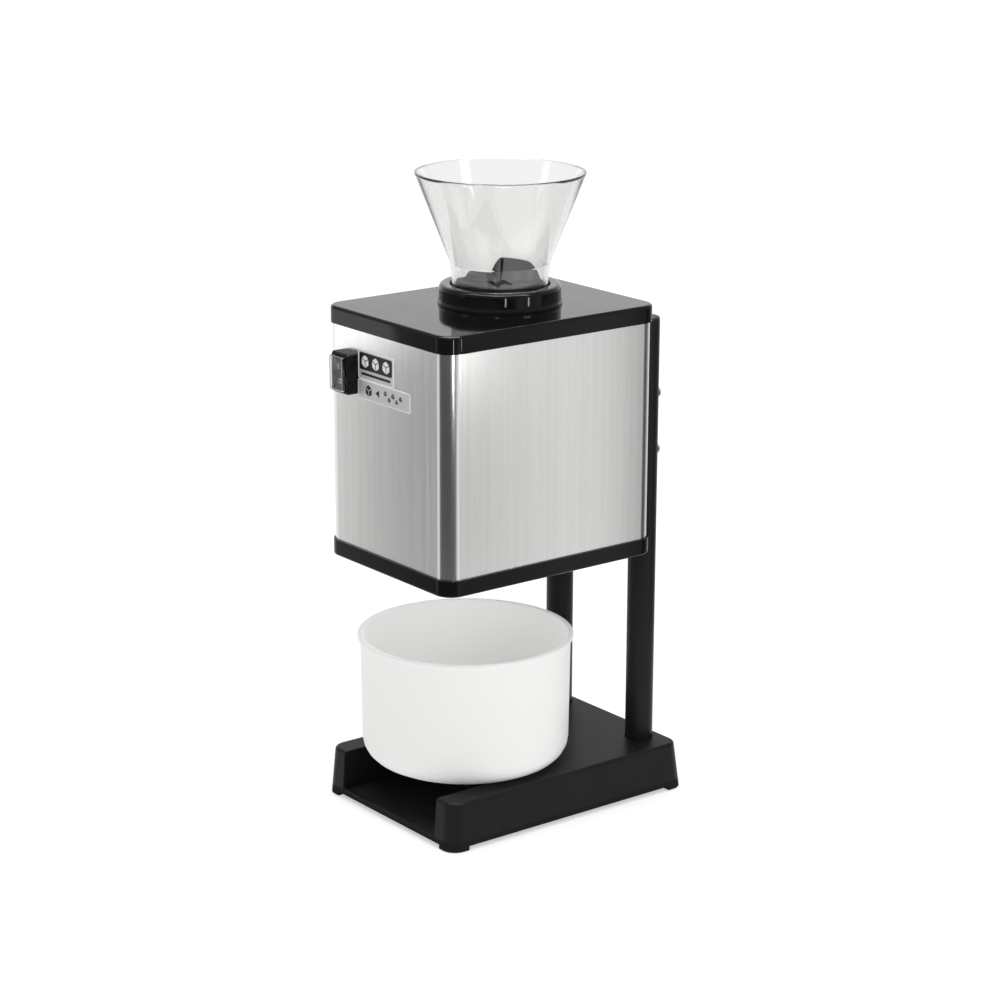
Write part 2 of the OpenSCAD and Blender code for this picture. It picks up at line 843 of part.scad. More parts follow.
// Compound gear: a wide pinion for the slow pair and a wheel for the fast pair
module idler_gear() {
    pinion_turn = idler_angle + 180 + 180 / pinion_teeth;
    color("#d8d3c3")
    difference() {
        union() {
            along_x(slow_x, idler_y, idler_z)
                rotate([0, 0, pinion_turn])
                    linear_extrude(fast_x - slow_x) gear_outline(slow_module, pinion_teeth);
            along_x(fast_x, idler_y, idler_z)
                rotate([0, 0, mesh_angle])
                    linear_extrude(fast_w) gear_outline(fast_module, wheel_teeth);
        }
        along_x(slow_x - 1, idler_y, idler_z)
            cylinder(h = gear_w + fast_w + 6, r = axle_r + run_gap);
    }
}

module idler_shaft() {
    color("#9fa1a4")
    along_x(drum_x, idler_y, idler_z)
        cylinder(h = cover_x - cover_wall - drum_x, r = axle_r);
}

motor_y = throat_y + motor_dy;
motor_z = shaft_z + motor_dz;

module motor_pinion() {
    turn = mesh_angle + 180 + 180 / pinion_teeth;
    color("#8a7f6a")
    along_x(fast_x - 0.5, motor_y, motor_z)
        rotate([0, 0, turn])
            linear_extrude(fast_w + 1)
                difference() {
                    gear_outline(fast_module, pinion_teeth);
                    circle(axle_r);
                }
}

slow_case_r = slow_module * wheel_teeth / 2 + 2;
idler_case_r = fast_module * wheel_teeth / 2 + 2;
motor_case_r = fast_module * pinion_teeth / 2 + 4;
ear_reach = 4.3;
ear_r = 5;

// Outline that wraps all three shafts of the gear train
module gear_case_outline(grow) {
    hull() {
        translate([throat_y, shaft_z]) circle(slow_case_r + grow, $fn = 64);
        translate([idler_y, idler_z]) circle(idler_case_r + grow, $fn = 64);
        translate([motor_y, motor_z]) circle(motor_case_r + grow, $fn = 64);
    }
}

module gear_plate() {
    color("#a9abad")
    difference() {
        along_x(drum_x, 0, 0) linear_extrude(plate_t) gear_case_outline(cover_wall + ear_reach + ear_r);
        along_x(drum_x - 1, throat_y, shaft_z) cylinder(h = plate_t + 2, r = bush_r);
        along_x(drum_x - 1, idler_y, idler_z) cylinder(h = plate_t + 2, r = axle_r);
        along_x(drum_x - 1, motor_y, motor_z) cylinder(h = plate_t + 2, r = axle_r + 1);
        case_screw_places() cylinder(h = 20, r = screw_r, $fn = 32, center = true);
    }
}

// The case's screws stand just outside the walls, in small ears
module case_screw_places() {
    reach_b = slow_case_r + cover_wall + ear_reach;
    reach_m = motor_case_r + cover_wall + ear_reach;
    for (a = [75, 5, -65])
        along_x(plate_x, throat_y + reach_b * cos(a), shaft_z + reach_b * sin(a)) children();
    for (a = [190, 265])
        along_x(plate_x, motor_y + reach_m * cos(a), motor_z + reach_m * sin(a)) children();
}

module gear_cover() {
    color("#2a2a2b")
    difference() {
        union() {
            difference() {
                along_x(plate_x, 0, 0)
                    linear_extrude(cover_x - plate_x) gear_case_outline(cover_wall);
                along_x(plate_x - 1, 0, 0)
                    linear_extrude(cover_x - plate_x + 1 - cover_wall) gear_case_outline(0);
            }
            difference() {
                case_screw_places() cylinder(h = 5, r = ear_r, $fn = 32);
                along_x(plate_x - 1, 0, 0) linear_extrude(10) gear_case_outline(0);
            }
        }
        case_screw_places() cylinder(h = 20, r = screw_r + 0.1, $fn = 32, center = true);
    }
}

module gear_cover_screws() {
    color("#8f8f91")
    case_screw_places() translate([0, 0, 5]) pan_screw(5 + plate_t, screw_r, screw_head_r, 2);
}

// ---------- motor ----------

module motor_cap(x, wall_at_end) {
    bore_r = axle_r + 4;
    wall = 2.5;
    inner_x = wall_at_end ? x - 1 : x + wall;
    difference() {
        along_x(x, motor_y, motor_z) cylinder(h = cap_l, r = motor_side / 2);
        along_x(inner_x, motor_y, motor_z)
            cylinder(h = cap_l - wall + 1, r = motor_side / 2 - wall);
        along_x(x - 1, motor_y, motor_z) cylinder(h = cap_l + 2, r = bore_r);
    }
    // the bearing's pocket
    along_x(wall_at_end ? x + cap_l - bearing_l : x, motor_y, motor_z)
        tube(bearing_l, bore_r + 2, bore_r);
}

module motor_front_cap() { color("#9c9ea1") motor_cap(motor_x1, true); }

module motor_rear_cap() { color("#9c9ea1") motor_cap(motor_x0 - cap_l, false); }

module motor_bearings() {
    color("#7d7f82")
    for (x = [motor_x0 - cap_l, drum_x - bearing_l])
        along_x(x, motor_y, motor_z) tube(bearing_l, axle_r + 4, axle_r + run_gap);
}

module motor_stator() {
    bore_r = rotor_r + 0.6;
    slots = 12;
    color("#707276")
    along_x(motor_x0, motor_y, motor_z)
        linear_extrude(stack_l)
            difference() {
                rrect(motor_side, motor_side, 9);
                circle(bore_r);
                for (i = [0:slots - 1])
                    rotate([0, 0, i * 360 / slots]) translate([bore_r + 1.5, -1.2]) square([6.5, 2.4]);
            }
}

module motor_windings() {
    length = 6;
    color("#b5651d")
    for (x = [motor_x0 - length, motor_x1])
        along_x(x, motor_y, motor_z) tube(length, winding_r1, winding_r0);
}

module motor_rotor() {
    color("#8b8d90")
    along_x(0, motor_y, motor_z) {
        translate([0, 0, motor_x0]) cylinder(h = stack_l, r = rotor_r);
        translate([0, 0, fan_x - 2]) cylinder(h = cover_x - cover_wall - 4 - fan_x, r = axle_r);
    }
}

module motor_fan() {
    fan_r = motor_side / 2 - 3;
    blades = 9;
    color("#3b3b3d")
    along_x(fan_x, motor_y, motor_z)
        difference() {
            union() {
                cylinder(h = 1.6, r = fan_r);
                cylinder(h = fan_w, r = axle_r + 3);
                for (i = [0:blades - 1])
                    rotate([0, 0, i * 360 / blades])
                        translate([axle_r + 2, -0.8, 0]) cube([fan_r - axle_r - 3, 1.6, fan_w]);
            }
            translate([0, 0, -1]) cylinder(h = fan_w + 2, r = axle_r);
        }
}

module motor_stand() {
    t = 3;
    half = motor_side / 2;
    top = motor_z - half;
    foot_d = motor_side - 8;
    color("#8d8f92")
    translate([motor_x0, motor_y - foot_d / 2, 0]) {
        translate([0, 0, tray_top]) cube([stack_l, foot_d, t]);
        translate([0, 0, top - t]) cube([stack_l, foot_d, t]);
        for (x = [2, stack_l - 2 - t])
            translate([x, 4, tray_top + t]) cube([t, foot_d - 8, top - tray_top - 2 * t]);
    }
}

// ---------- switch, interlock and wiring pieces ----------

switch_x = -block_x;
switch_z = cover_foot - block_drop;
cutout_w = 13.4;
cutout_h = 22.4;
switch_depth = 24;

module switch_hole(gap) {
    translate([switch_x, body_front, switch_z])
        cube([cutout_w + 2 * gap, 6, cutout_h + 2 * gap], center = true);
}

module switch_block() {
    soften = 1.8;
    color("#121212")
    difference() {
        translate([switch_x, body_front, switch_z]) rotate([90, 0, 0])
            soft_slab(block_w, block_h, block_t, 2.4, soften);
        translate([switch_x, body_front, switch_z])
            cube([cutout_w, 3 * block_t, cutout_h], center = true);
        translate([switch_x, body_front - block_t, switch_z])
            cube([cutout_w + 3.4, 2, cutout_h + 3.4], center = true);
    }
}

module switch_body() {
    wall = 1;
    front = body_front - block_t + 2.2;
    color("#2c2c2c")
    difference() {
        translate([switch_x - cutout_w / 2, front, switch_z - cutout_h / 2])
            cube([cutout_w, switch_depth, cutout_h]);
        translate([switch_x - cutout_w / 2 + wall, front - 1, switch_z - cutout_h / 2 + wall])
            cube([cutout_w - 2 * wall, 8, cutout_h - 2 * wall]);
        along_x(switch_x - cutout_w, rocker_y, switch_z)
            cylinder(h = 2 * cutout_w, r = pivot_r + run_gap, $fn = 32);
    }
    for (z = [-7, 0, 7])
        translate([switch_x - 2.4, front + switch_depth, switch_z + z - 0.4])
            cube([4.8, 7, 0.8]);
}

pivot_r = 0.9;
rocker_w = cutout_w - 2 - 2 * body_gap;
rocker_h = cutout_h - 2 - 2 * body_gap - 0.6;
rocker_y = body_front - block_t + 4;

// Rocker in the off position, on its two pivot pins: its upper half stands out
module rocker() {
    rise = rocker_h / 2 * tan(rocker_tilt);
    color("#262626")
    translate([switch_x, rocker_y, switch_z])
        rotate([rocker_tilt, 0, 0]) rotate([90, 0, 90]) {
            translate([0, 0, -cutout_w / 2 + 0.1])
                cylinder(h = cutout_w - 0.2, r = pivot_r, $fn = 32);
            translate([0, 0, -rocker_w / 2])
                linear_extrude(rocker_w)
                    polygon([[2, -4], [-1.5, -rocker_h / 2], [-3 - rise, -rocker_h / 2],
                             [-3.4, 0], [-3 - rise, rocker_h / 2],
                             [-1.5, rocker_h / 2], [2, 4]]);
        }
}

module switch_boot() {
    wall = 0.8;
    flange = 1.5;
    w = cutout_w + 2 * flange;
    h = cutout_h + 2 * flange;
    front = body_front - block_t - boot_t;
    color([0.85, 0.87, 0.88, 0.3])
    difference() {
        translate([switch_x - w / 2, front, switch_z - h / 2])
            cube([w, boot_t + 1, h]);
        translate([switch_x - w / 2 + wall, front + wall, switch_z - h / 2 + wall])
            cube([w - 2 * wall, boot_t + 2, h - 2 * wall]);
    }
}

// Microswitch under the cover, held down by the hopper through a plunger
module interlock_switch() {
    top = roof_z - 11;
    color("#2b2b2d")
    difference() {
        translate([-interlock_w / 2, throat_y + throat_r + throat_wall, top - interlock_h])
            cube([interlock_w, interlock_d, interlock_h]);
        for (x = [-1, 1])
            along_y(x * 11, throat_y + throat_r, top - interlock_h + 3)
                cylinder(h = interlock_d + 5, r = 1.6, $fn = 32);
    }
}

plunger_travel = 3;

module interlock_plunger() {
    foot = roof_z - 11 + body_gap;
    color("#b33a2e")
    translate([0, throat_y + plunger_back, 0]) {
        translate([0, 0, foot]) cylinder(h = collar_floor - foot, r = plunger_r, $fn = 48);
        translate([0, 0, foot]) cylinder(h = 2, r = plunger_r + 0.8, $fn = 48);
    }
}

module terminal_block() {
    ways = 3;
    pitch = 10;
    color("#e3e0d4")
    difference() {
        translate([20, body_back - 50, tray_top]) cube([ways * pitch, 18, 16]);
        for (i = [0:ways - 1])
            translate([20 + (i + 0.5) * pitch, body_back - 41, tray_top + 5])
                cylinder(h = 12, r = 2.6, $fn = 32);
    }
}

module run_capacitor() {
    color("#cfcfd1")
    translate([-36, body_back - 34, tray_top]) {
        cylinder(h = 58, r = 17);
        for (x = [-5, 5]) translate([x - 3, -0.4, 58]) cube([6, 0.8, 7]);
    }
}

grommet_z = band_top + 18;
grommet_seat_r = 7.5;
grommet_bore_r = 4;

// Rubber grommet in the back where the mains lead goes in
module cord_grommet() {
    half = 4.5;
    color("#141414")
    along_y(0, body_back - 1.5 * sheet_t, grommet_z)
        rotate_extrude()
            polygon([[grommet_bore_r, -half], [grommet_seat_r + 3, -half],
                     [grommet_seat_r + 3, -sheet_t / 2], [grommet_seat_r, -sheet_t / 2],
                     [grommet_seat_r, sheet_t / 2], [grommet_seat_r + 3, sheet_t / 2],
                     [grommet_seat_r + 3, half - 1], [grommet_seat_r + 2, half],
                     [grommet_bore_r, half]]);
}

// ---------- plates ----------

// A thin plate stuck on the front: middle and size along X and Z
module front_plate(x, z, w, h, r) {
    translate([x, body_front, z]) rotate([90, 0, 0]) linear_extrude(flat_t) rrect(w, h, r);
}

strip_left = switch_x + block_w / 2 + 0.1;
strip_x = strip_left + strip_w / 2;
badge_x = strip_left + 0.4 + badge_w / 2;
badge_z = cover_foot - 23.6;
strip_z = badge_z - badge_h / 2 - strip_h / 2 - 0.1;

module badge_plate() {
    color("#202022") front_plate(badge_x, badge_z, badge_w, badge_h, 2.5);
}

module label_strip() {
    color("#dededc") front_plate(strip_x, strip_z, strip_w, strip_h, 1.2);
}

module rating_plate() {
    color("#e6e6e6")
    translate([0, body_back - sheet_t, grommet_z + 30]) rotate([-90, 0, 0])
        linear_extrude(flat_t) rrect(46, 26, 2);
}

base();
foot_pads();
column_left();
column_right();
column_inserts();
column_base_screws();
column_caps();
column_bars();
column_screws();
steel_wrap();
rear_panel();
bottom_tray();
top_cover();
tie_screws();
hopper_collar();
splash_guard();
hopper();
bowl();
crusher_drum();
breaker_comb();
comb_screws();
outlet_chute();
shaft_bushes();
blade_shaft();
crusher_blades();
blade_spacers();
drive_gear();
shaft_circlips();
idler_shaft();
idler_gear();
gear_plate();
gear_cover();
gear_cover_screws();
motor_front_cap();
motor_stator();
motor_windings();
motor_rear_cap();
motor_bearings();
motor_rotor();
motor_pinion();
motor_fan();
motor_stand();
switch_block();
switch_body();
rocker();
switch_boot();
interlock_switch();
interlock_plunger();
terminal_block();
run_capacitor();
cord_grommet();
badge_plate();
label_strip();
rating_plate();
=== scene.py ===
import json
import math

import bmesh
import bpy
from mathutils import Matrix, Vector


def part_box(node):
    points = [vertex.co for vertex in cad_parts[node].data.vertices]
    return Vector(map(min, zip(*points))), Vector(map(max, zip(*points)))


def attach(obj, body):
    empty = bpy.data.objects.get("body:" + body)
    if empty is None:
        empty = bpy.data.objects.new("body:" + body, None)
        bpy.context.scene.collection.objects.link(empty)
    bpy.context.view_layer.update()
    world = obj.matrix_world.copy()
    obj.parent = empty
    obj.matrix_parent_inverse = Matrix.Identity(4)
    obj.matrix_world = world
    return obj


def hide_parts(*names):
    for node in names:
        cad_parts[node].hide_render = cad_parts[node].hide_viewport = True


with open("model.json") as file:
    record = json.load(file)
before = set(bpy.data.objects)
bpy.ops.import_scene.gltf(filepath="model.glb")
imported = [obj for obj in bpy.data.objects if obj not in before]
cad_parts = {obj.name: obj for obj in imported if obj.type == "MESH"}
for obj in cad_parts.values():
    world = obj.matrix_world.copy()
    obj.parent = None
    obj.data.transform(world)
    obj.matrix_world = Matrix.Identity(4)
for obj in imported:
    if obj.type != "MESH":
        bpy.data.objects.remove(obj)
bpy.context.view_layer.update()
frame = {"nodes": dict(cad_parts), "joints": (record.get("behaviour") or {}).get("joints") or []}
nodes = frame["nodes"]
mm = 0.001


# ---------- camera ----------
# A long lens, a little above the machine and round towards its +X side.
camera_turn, camera_dip, camera_roll = map(math.radians, (52.2, 15.88, 0.18))
bpy.ops.object.camera_add()
camera = bpy.context.object
camera.data.lens = 99.26
camera.data.clip_end = 60
camera.matrix_world = (
    Matrix.Translation((1.51841, -1.1789, 0.7718))
    @ Matrix.Rotation(camera_turn, 4, "Z")
    @ Matrix.Rotation(math.pi / 2 - camera_dip, 4, "X")
    @ Matrix.Rotation(camera_roll, 4, "Z")
)
bpy.context.scene.camera = camera
bpy.context.scene.view_settings.view_transform = "Standard"


# ---------- table, lights and reflector cards ----------
# A pale table under a white tent. Cards round the machine give its steel and its
# gloss something to mirror, and a small light hangs under the outlet.
class Term:
    """A shader socket that Python's own sums work on."""

    def __init__(self, finish, socket):
        self.finish, self.socket = finish, socket

    def sum(self, operation, first, second):
        return self.finish.node("ShaderNodeMath", {"operation": operation}, {0: first, 1: second})

    def __add__(self, other):
        return self.sum("ADD", self, other)

    def __mul__(self, other):
        return self.sum("MULTIPLY", self, other)

    def __sub__(self, other):
        return self.sum("SUBTRACT", self, other)

    def __rsub__(self, other):
        return self.sum("SUBTRACT", other, self)

    def __gt__(self, other):
        return self.sum("GREATER_THAN", self, other)

    def __lt__(self, other):
        return self.sum("LESS_THAN", self, other)

    def __pow__(self, other):
        return self.sum("POWER", self, other)

    def __abs__(self):
        return self.sum("ABSOLUTE", self, 0)

    __radd__ = __add__
    __rmul__ = __mul__


class Finish:
    """One material, built up node by node."""

    def __init__(self, name):
        self.material = bpy.data.materials.new(name)
        self.material.use_nodes = True
        self.tree = self.material.node_tree
        self.tree.nodes.clear()
        self.place = self.node("ShaderNodeTexCoord", out="Object")

    def node(self, kind, settings=None, sockets=None, out=0):
        made = self.tree.nodes.new(kind)
        for name, value in (settings or {}).items():
            if name == "stops":
                ramp = made.color_ramp
                ramp.elements.remove(ramp.elements[1])
                for at, colour in value[1:]:
                    ramp.elements.new(at).color = colour
                ramp.elements[0].position, ramp.elements[0].color = value[0]
            else:
                setattr(made, name, value)
        for name, value in (sockets or {}).items():
            if isinstance(value, Term):
                self.tree.links.new(value.socket, made.inputs[name])
            else:
                made.inputs[name].default_value = value
        return Term(self, made.outputs[out]) if made.outputs else None

    def noise(self, scale, stretch=(1, 1, 1), detail=3):
        """Noise with that many cells in a metre, from 0 to 1."""
        at = self.node("ShaderNodeMapping", {}, {"Vector": self.place, "Scale": stretch})
        return self.node(
            "ShaderNodeTexNoise", {}, {"Vector": at, "Scale": scale, "Detail": detail})

    def mix(self, share, first, second):
        """A colour between two colours."""
        return self.node(
            "ShaderNodeMix", {"data_type": "RGBA"}, {0: share, 6: first, 7: second}, 2)

    def plastic(self, colour, roughness, bump=None, depth=0.00002, **extra):
        """Ends the material in one shader, and returns the material."""
        sockets = {"Base Color": colour, "Roughness": roughness}
        sockets.update({name.replace("_", " "): value for name, value in extra.items()})
        if bump:
            sockets["Normal"] = self.node("ShaderNodeBump", {}, {"Height": bump, "Distance": depth})
        shader = self.node("ShaderNodeBsdfPrincipled", {}, sockets)
        self.node("ShaderNodeOutputMaterial", {}, {"Surface": shader})
        return self.material


def grey(value):
    return (value, value, value, 1)


bpy.ops.object.select_all(action="DESELECT")
bpy.ops.mesh.primitive_plane_add(size=40, location=(0, 0, -0.1 * mm))
table = bpy.context.object
table.name = "table"
table_finish = Finish("pale_table")
table.data.materials.append(table_finish.plastic(
    table_finish.mix(table_finish.noise(3), grey(0.86), grey(0.88)), 0.6,
    Specular_IOR_Level=0.0, Emission_Color=grey(1), Emission_Strength=0.48))

world = bpy.data.worlds.new("tent")
world.use_nodes = True
world.node_tree.nodes["Background"].inputs["Color"].default_value = grey(1)
world.node_tree.nodes["Background"].inputs["Strength"].default_value = 0.64
bpy.context.scene.world = world


def aside(turn, reach, height):
    """The point that far out, turned from the front towards +X."""
    turn = math.radians(turn)
    return Vector((math.sin(turn) * reach, -math.cos(turn) * reach, height))


def softbox(name, turn, reach, height, size, power):
    bpy.ops.object.light_add(type="AREA", location=aside(turn, reach, height))
    light = bpy.context.object
    light.name = name
    light.data.shape = "SQUARE"
    light.data.size = size
    light.data.energy = power
    aim = Vector((0, 0, 0.2)) - light.location
    light.rotation_euler = aim.to_track_quat("-Z", "Y").to_euler()
    light.visible_glossy = False


def mirror_only(piece, name, glow):
    """Makes a piece a glowing card that only mirrors see."""
    finish = Finish(name)
    colour = glow(finish) if callable(glow) else (glow, glow, glow, 1)
    light = finish.node("ShaderNodeEmission", {}, {"Color": colour})
    finish.node("ShaderNodeOutputMaterial", {}, {"Surface": light})
    piece.name = name
    piece.data.materials.append(finish.material)
    piece.visible_camera = piece.visible_diffuse = False
    piece.visible_shadow = piece.visible_transmission = False


def card(name, turn, reach, low, high, width, brightness):
    """An upright card."""
    bpy.ops.object.select_all(action="DESELECT")
    bpy.ops.mesh.primitive_plane_add(
        size=1, location=aside(turn, reach, (low + high) / 2),
        rotation=(math.pi / 2, 0, math.radians(turn)))
    bpy.context.object.scale = (width, high - low, 1)
    mirror_only(bpy.context.object, name, brightness)


def tent_wall(name, reach, low, high, stops):
    """A ring round the machine whose brightness changes from stop to stop."""
    bpy.ops.object.select_all(action="DESELECT")
    bpy.ops.mesh.primitive_cylinder_add(
        vertices=180, radius=reach, depth=high - low, end_fill_type="NOTHING",
        location=(0, 0, (low + high) / 2))
    wall = bpy.context.object
    glow = wall.data.attributes.new("glow", "FLOAT", "POINT")
    for vert in wall.data.vertices:
        turn = math.degrees(math.atan2(vert.co.x, -vert.co.y))
        for (start, first), (end, last) in zip(stops, stops[1:]):
            if start <= turn <= end:
                share = (turn - start) / (end - start)
                glow.data[vert.index].value = first + (last - first) * share
    mirror_only(wall, name, lambda finish: finish.node(
        "ShaderNodeAttribute", {"attribute_name": "glow"}, {}, 2))


softbox("top_light", 60, 0.6, 2.4, 1.6, 8)
softbox("key_light", 92, 2.2, 0.9, 1.2, 7)
softbox("bowl_light", 0, 0.035, 0.176, 0.09, 0.055)
bpy.context.object.rotation_euler = (0, 0, 0)
tent_wall("tent_wall", 0.45, 0.0, 0.36, (
    (-180.1, 0.8), (-75, 0.9), (-60, 1.0), (-52, 0.85), (-46, 0.5), (-38, 0.22), (-34, 0.22),
    (-28, 0.95), (-18, 0.95), (-10, 0.07), (62, 0.05), (76, 0.1), (86, 0.95), (96, 0.75),
    (104, 0.5), (116, 0.58), (124, 0.85), (129, 0.95), (132, 0.35), (136, 0.05), (155, 0.05), (175, 0.6),
    (180.1, 0.8)))
card("lid_light", -51, 0.44, 0.266, 0.31, 0.13, 1.8)
card("slim_light_1", 62, 0.43, 0.27, 0.33, 0.012, 40)
card("slim_light_2", 104, 0.43, 0.27, 0.33, 0.012, 40)
card("funnel_light_1", 112, 0.9, 1.0, 2.1, 0.24, 9)
card("funnel_light_2", -26, 0.9, 0.9, 1.7, 0.2, 3)
card("back_reflector", 232, 2.2, 0.3, 2.4, 4.0, 1.25)
bpy.ops.object.select_all(action="DESELECT")
bpy.ops.mesh.primitive_plane_add(size=0.9, location=(0.1, -0.1, 1.2), rotation=(math.pi, 0, 0))
mirror_only(bpy.context.object, "overhead_light", 14)


# ---------- base ----------
# One black moulding with drafted sides: two arms round an open bay, and a deck behind
# it. It stands on four corner feet and is hollow underneath.
def alone(piece):
    """Makes piece the only one selected."""
    bpy.ops.object.select_all(action="DESELECT")
    piece.hide_set(False)
    piece.select_set(True)
    bpy.context.view_layer.objects.active = piece
    return piece


def settle(name):
    """Names the new primitive and puts its place into its mesh."""
    bpy.ops.object.transform_apply(location=True, rotation=True, scale=True)
    piece = bpy.context.object
    piece.name = piece.data.name = name
    return piece


def block(name, low, high):
    """A cube primitive between two corners."""
    bpy.ops.object.select_all(action="DESELECT")
    low, high = Vector(low), Vector(high)
    bpy.ops.mesh.primitive_cube_add(size=1, location=(low + high) / 2, scale=high - low)
    return settle(name)


def rod(name, start, radius, length, axis="Z", sides=48):
    """A cylinder primitive from start, along an axis."""
    bpy.ops.object.select_all(action="DESELECT")
    turn = {"X": (0, math.pi / 2, 0), "Y": (math.pi / 2, 0, 0), "Z": (0, 0, 0)}[axis]
    middle = Vector(start)
    middle["XYZ".index(axis)] += length / 2
    bpy.ops.mesh.primitive_cylinder_add(
        vertices=sides, radius=radius, depth=length, location=middle, rotation=turn)
    return settle(name)


def pick(piece, kind, test):
    """Goes into edit mode with only the parts selected that pass a test."""
    alone(piece)
    bpy.ops.object.mode_set(mode="EDIT")
    bpy.ops.mesh.select_mode(type=kind)
    bpy.ops.mesh.select_all(action="DESELECT")
    mesh = bmesh.from_edit_mesh(piece.data)
    for part in {"VERT": mesh.verts, "EDGE": mesh.edges, "FACE": mesh.faces}[kind]:
        if test(part):
            part.select_set(True)
    mesh.select_flush_mode()
    bmesh.update_edit_mesh(piece.data)


def leave():
    bpy.ops.object.mode_set(mode="OBJECT")


def upright(edge):
    a, b = (v.co for v in edge.verts)
    return (a - b).xy.length < 1e-5 and abs(a.z - b.z) > 1e-4


def round_edges(piece, test, radius, segments=8):
    """Rounds the edges that pass a test."""
    pick(piece, "EDGE", test)
    bpy.ops.mesh.bevel(offset=radius, segments=segments, affect="EDGES", clamp_overlap=False)
    leave()
    return piece


def at_height(height):
    """A test for edges that lie at a height."""
    return lambda edge: all(abs(v.co.z - height) < 1e-5 for v in edge.verts)


def level_face(height):
    """A test for faces that lie flat at a height."""
    return lambda face: (abs(face.normal.z) > 0.999
                         and abs(face.calc_center_median().z - height) < 1e-5)


def cut(piece, tool, operation="DIFFERENCE"):
    """Cuts the piece with a tool, or joins the tool on, and throws the tool away."""
    alone(piece)
    change = piece.modifiers.new("cut", "BOOLEAN")
    change.object, change.operation, change.solver = tool, operation, "EXACT"
    bpy.ops.object.modifier_apply(modifier=change.name)
    bpy.data.objects.remove(tool, do_unlink=True)
    return piece


def smooth(piece, edge=0.0, segments=2, limit=38):
    """Breaks the sharp edges, if asked, and shades the piece."""
    alone(piece)
    bpy.ops.object.mode_set(mode="EDIT")
    bpy.ops.mesh.select_all(action="SELECT")
    bpy.ops.mesh.remove_doubles(threshold=2e-5)
    bpy.ops.mesh.dissolve_limited(angle_limit=math.radians(0.5))
    leave()
    if edge:
        bevel = piece.modifiers.new("edges", "BEVEL")
        bevel.width, bevel.segments = edge, segments
        bevel.limit_method, bevel.angle_limit = "ANGLE", math.radians(limit)
        bevel.use_clamp_overlap = False
        bpy.ops.object.modifier_apply(modifier=bevel.name)
    bpy.ops.object.shade_smooth_by_angle(angle=math.radians(40))
    weighted = piece.modifiers.new("shading", "WEIGHTED_NORMAL")
    weighted.keep_sharp = True
    bpy.ops.object.modifier_apply(modifier=weighted.name)
    return piece


def place(piece, body, slot, finish, *stands_for):
    """Gives a finished piece its body, hides the nodes it stands for, and, when a finish is passed, puts
    that finish in place of the piece's materials. The slot is not used.
    """
    if finish:
        piece.data.materials.clear()
        piece.data.materials.append(finish)
    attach(piece, body)
    if stands_for:
        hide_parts(*stands_for)
    return piece


past = 10 * mm  # how far a cutting tool runs beyond the face it cuts
low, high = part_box("base")
foot = 3.2 * mm
pad_stand = 0.3 * mm
draft, rear_draft = 2.4 * mm, 4.3 * mm
wall = 3 * mm
bay_side, bay_back, bay_floor = 56.5 * mm, low.y + 118 * mm, 6.6 * mm
middle_y = (low.y + high.y) / 2

base = block("base_moulding", (low.x, low.y, pad_stand), high)
round_edges(base, upright, 11 * mm, 12)
pick(base, "FACE", level_face(high.z))
width, depth = high.x - low.x, high.y - low.y
bpy.ops.transform.resize(
    value=(1 - 2 * draft / width, 1 - (draft + rear_draft) / depth, 1),
    center_override=(0, middle_y, high.z))
bpy.ops.transform.translate(value=(0, (draft - rear_draft) / 2, 0))
leave()
round_edges(base, at_height(high.z), 2.2 * mm, 4)

bay = block("bay", (-bay_side, low.y + 4 * mm, bay_floor), (bay_side, bay_back, high.z + past))
round_edges(bay, lambda e: upright(e) and e.verts[0].co.y > 0, 18 * mm, 12)
cut(base, bay)
cut(base, block("sill", (-bay_side, low.y - past, bay_floor + 1.4 * mm),
                (bay_side, low.y + 6 * mm, high.z + past)))

hollow_top = high.z - wall
for name, x0, x1, y0, y1 in (
        ("deck_hollow", low.x + 6 * mm, high.x - 6 * mm, bay_back + wall, high.y - 8 * mm),
        ("left_arm_hollow", low.x + 6 * mm, -bay_side - wall, low.y + 6 * mm, bay_back + 0.02),
        ("right_arm_hollow", bay_side + wall, high.x - 6 * mm, low.y + 6 * mm, bay_back + 0.02)):
    hollow = block(name, (x0, y0, -past), (x1, y1, hollow_top))
    cut(base, round_edges(hollow, upright, 3 * mm, 4))
cut(base, block("bay_hollow", (-bay_side + 1 * mm, low.y + wall, -past),
                (bay_side - 1 * mm, bay_back - 1 * mm, bay_floor - wall)))
foot_long = 16 * mm
cut(base, block("gap_across", (low.x - past, low.y + foot_long, -past),
                (high.x + past, high.y - foot_long, foot)))
cut(base, block("gap_along", (low.x + foot_long, low.y - past, -past),
                (high.x - foot_long, high.y + past, foot)))

tube_x = (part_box("column_right")[0].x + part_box("column_right")[1].x) / 2
tube_y = (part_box("column_right")[0].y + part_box("column_right")[1].y) / 2
tube_r = (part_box("column_right")[1].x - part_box("column_right")[0].x) / 2
tube_low, tube_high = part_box("column_right")[0].z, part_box("column_right")[1].z
for side in (-1, 1):
    cut(base, rod("socket_wall", (side * tube_x, tube_y, foot), tube_r + wall, 0.03), "UNION")
    cut(base, rod("socket", (side * tube_x, tube_y, tube_low), tube_r + 0.1 * mm, 0.06))
    cut(base, rod("screw_way", (side * tube_x, tube_y, -past), 2.75 * mm, 0.06, sides=24))
for x in (low.x + 8 * mm, high.x - 8 * mm):
    for y in (low.y + 8 * mm, high.y - 8 * mm):
        cut(base, rod("pad_seat", (x, y, -past), 5.2 * mm, past + 1.2 * mm, sides=32))
smooth(base, 0.7 * mm, 3)

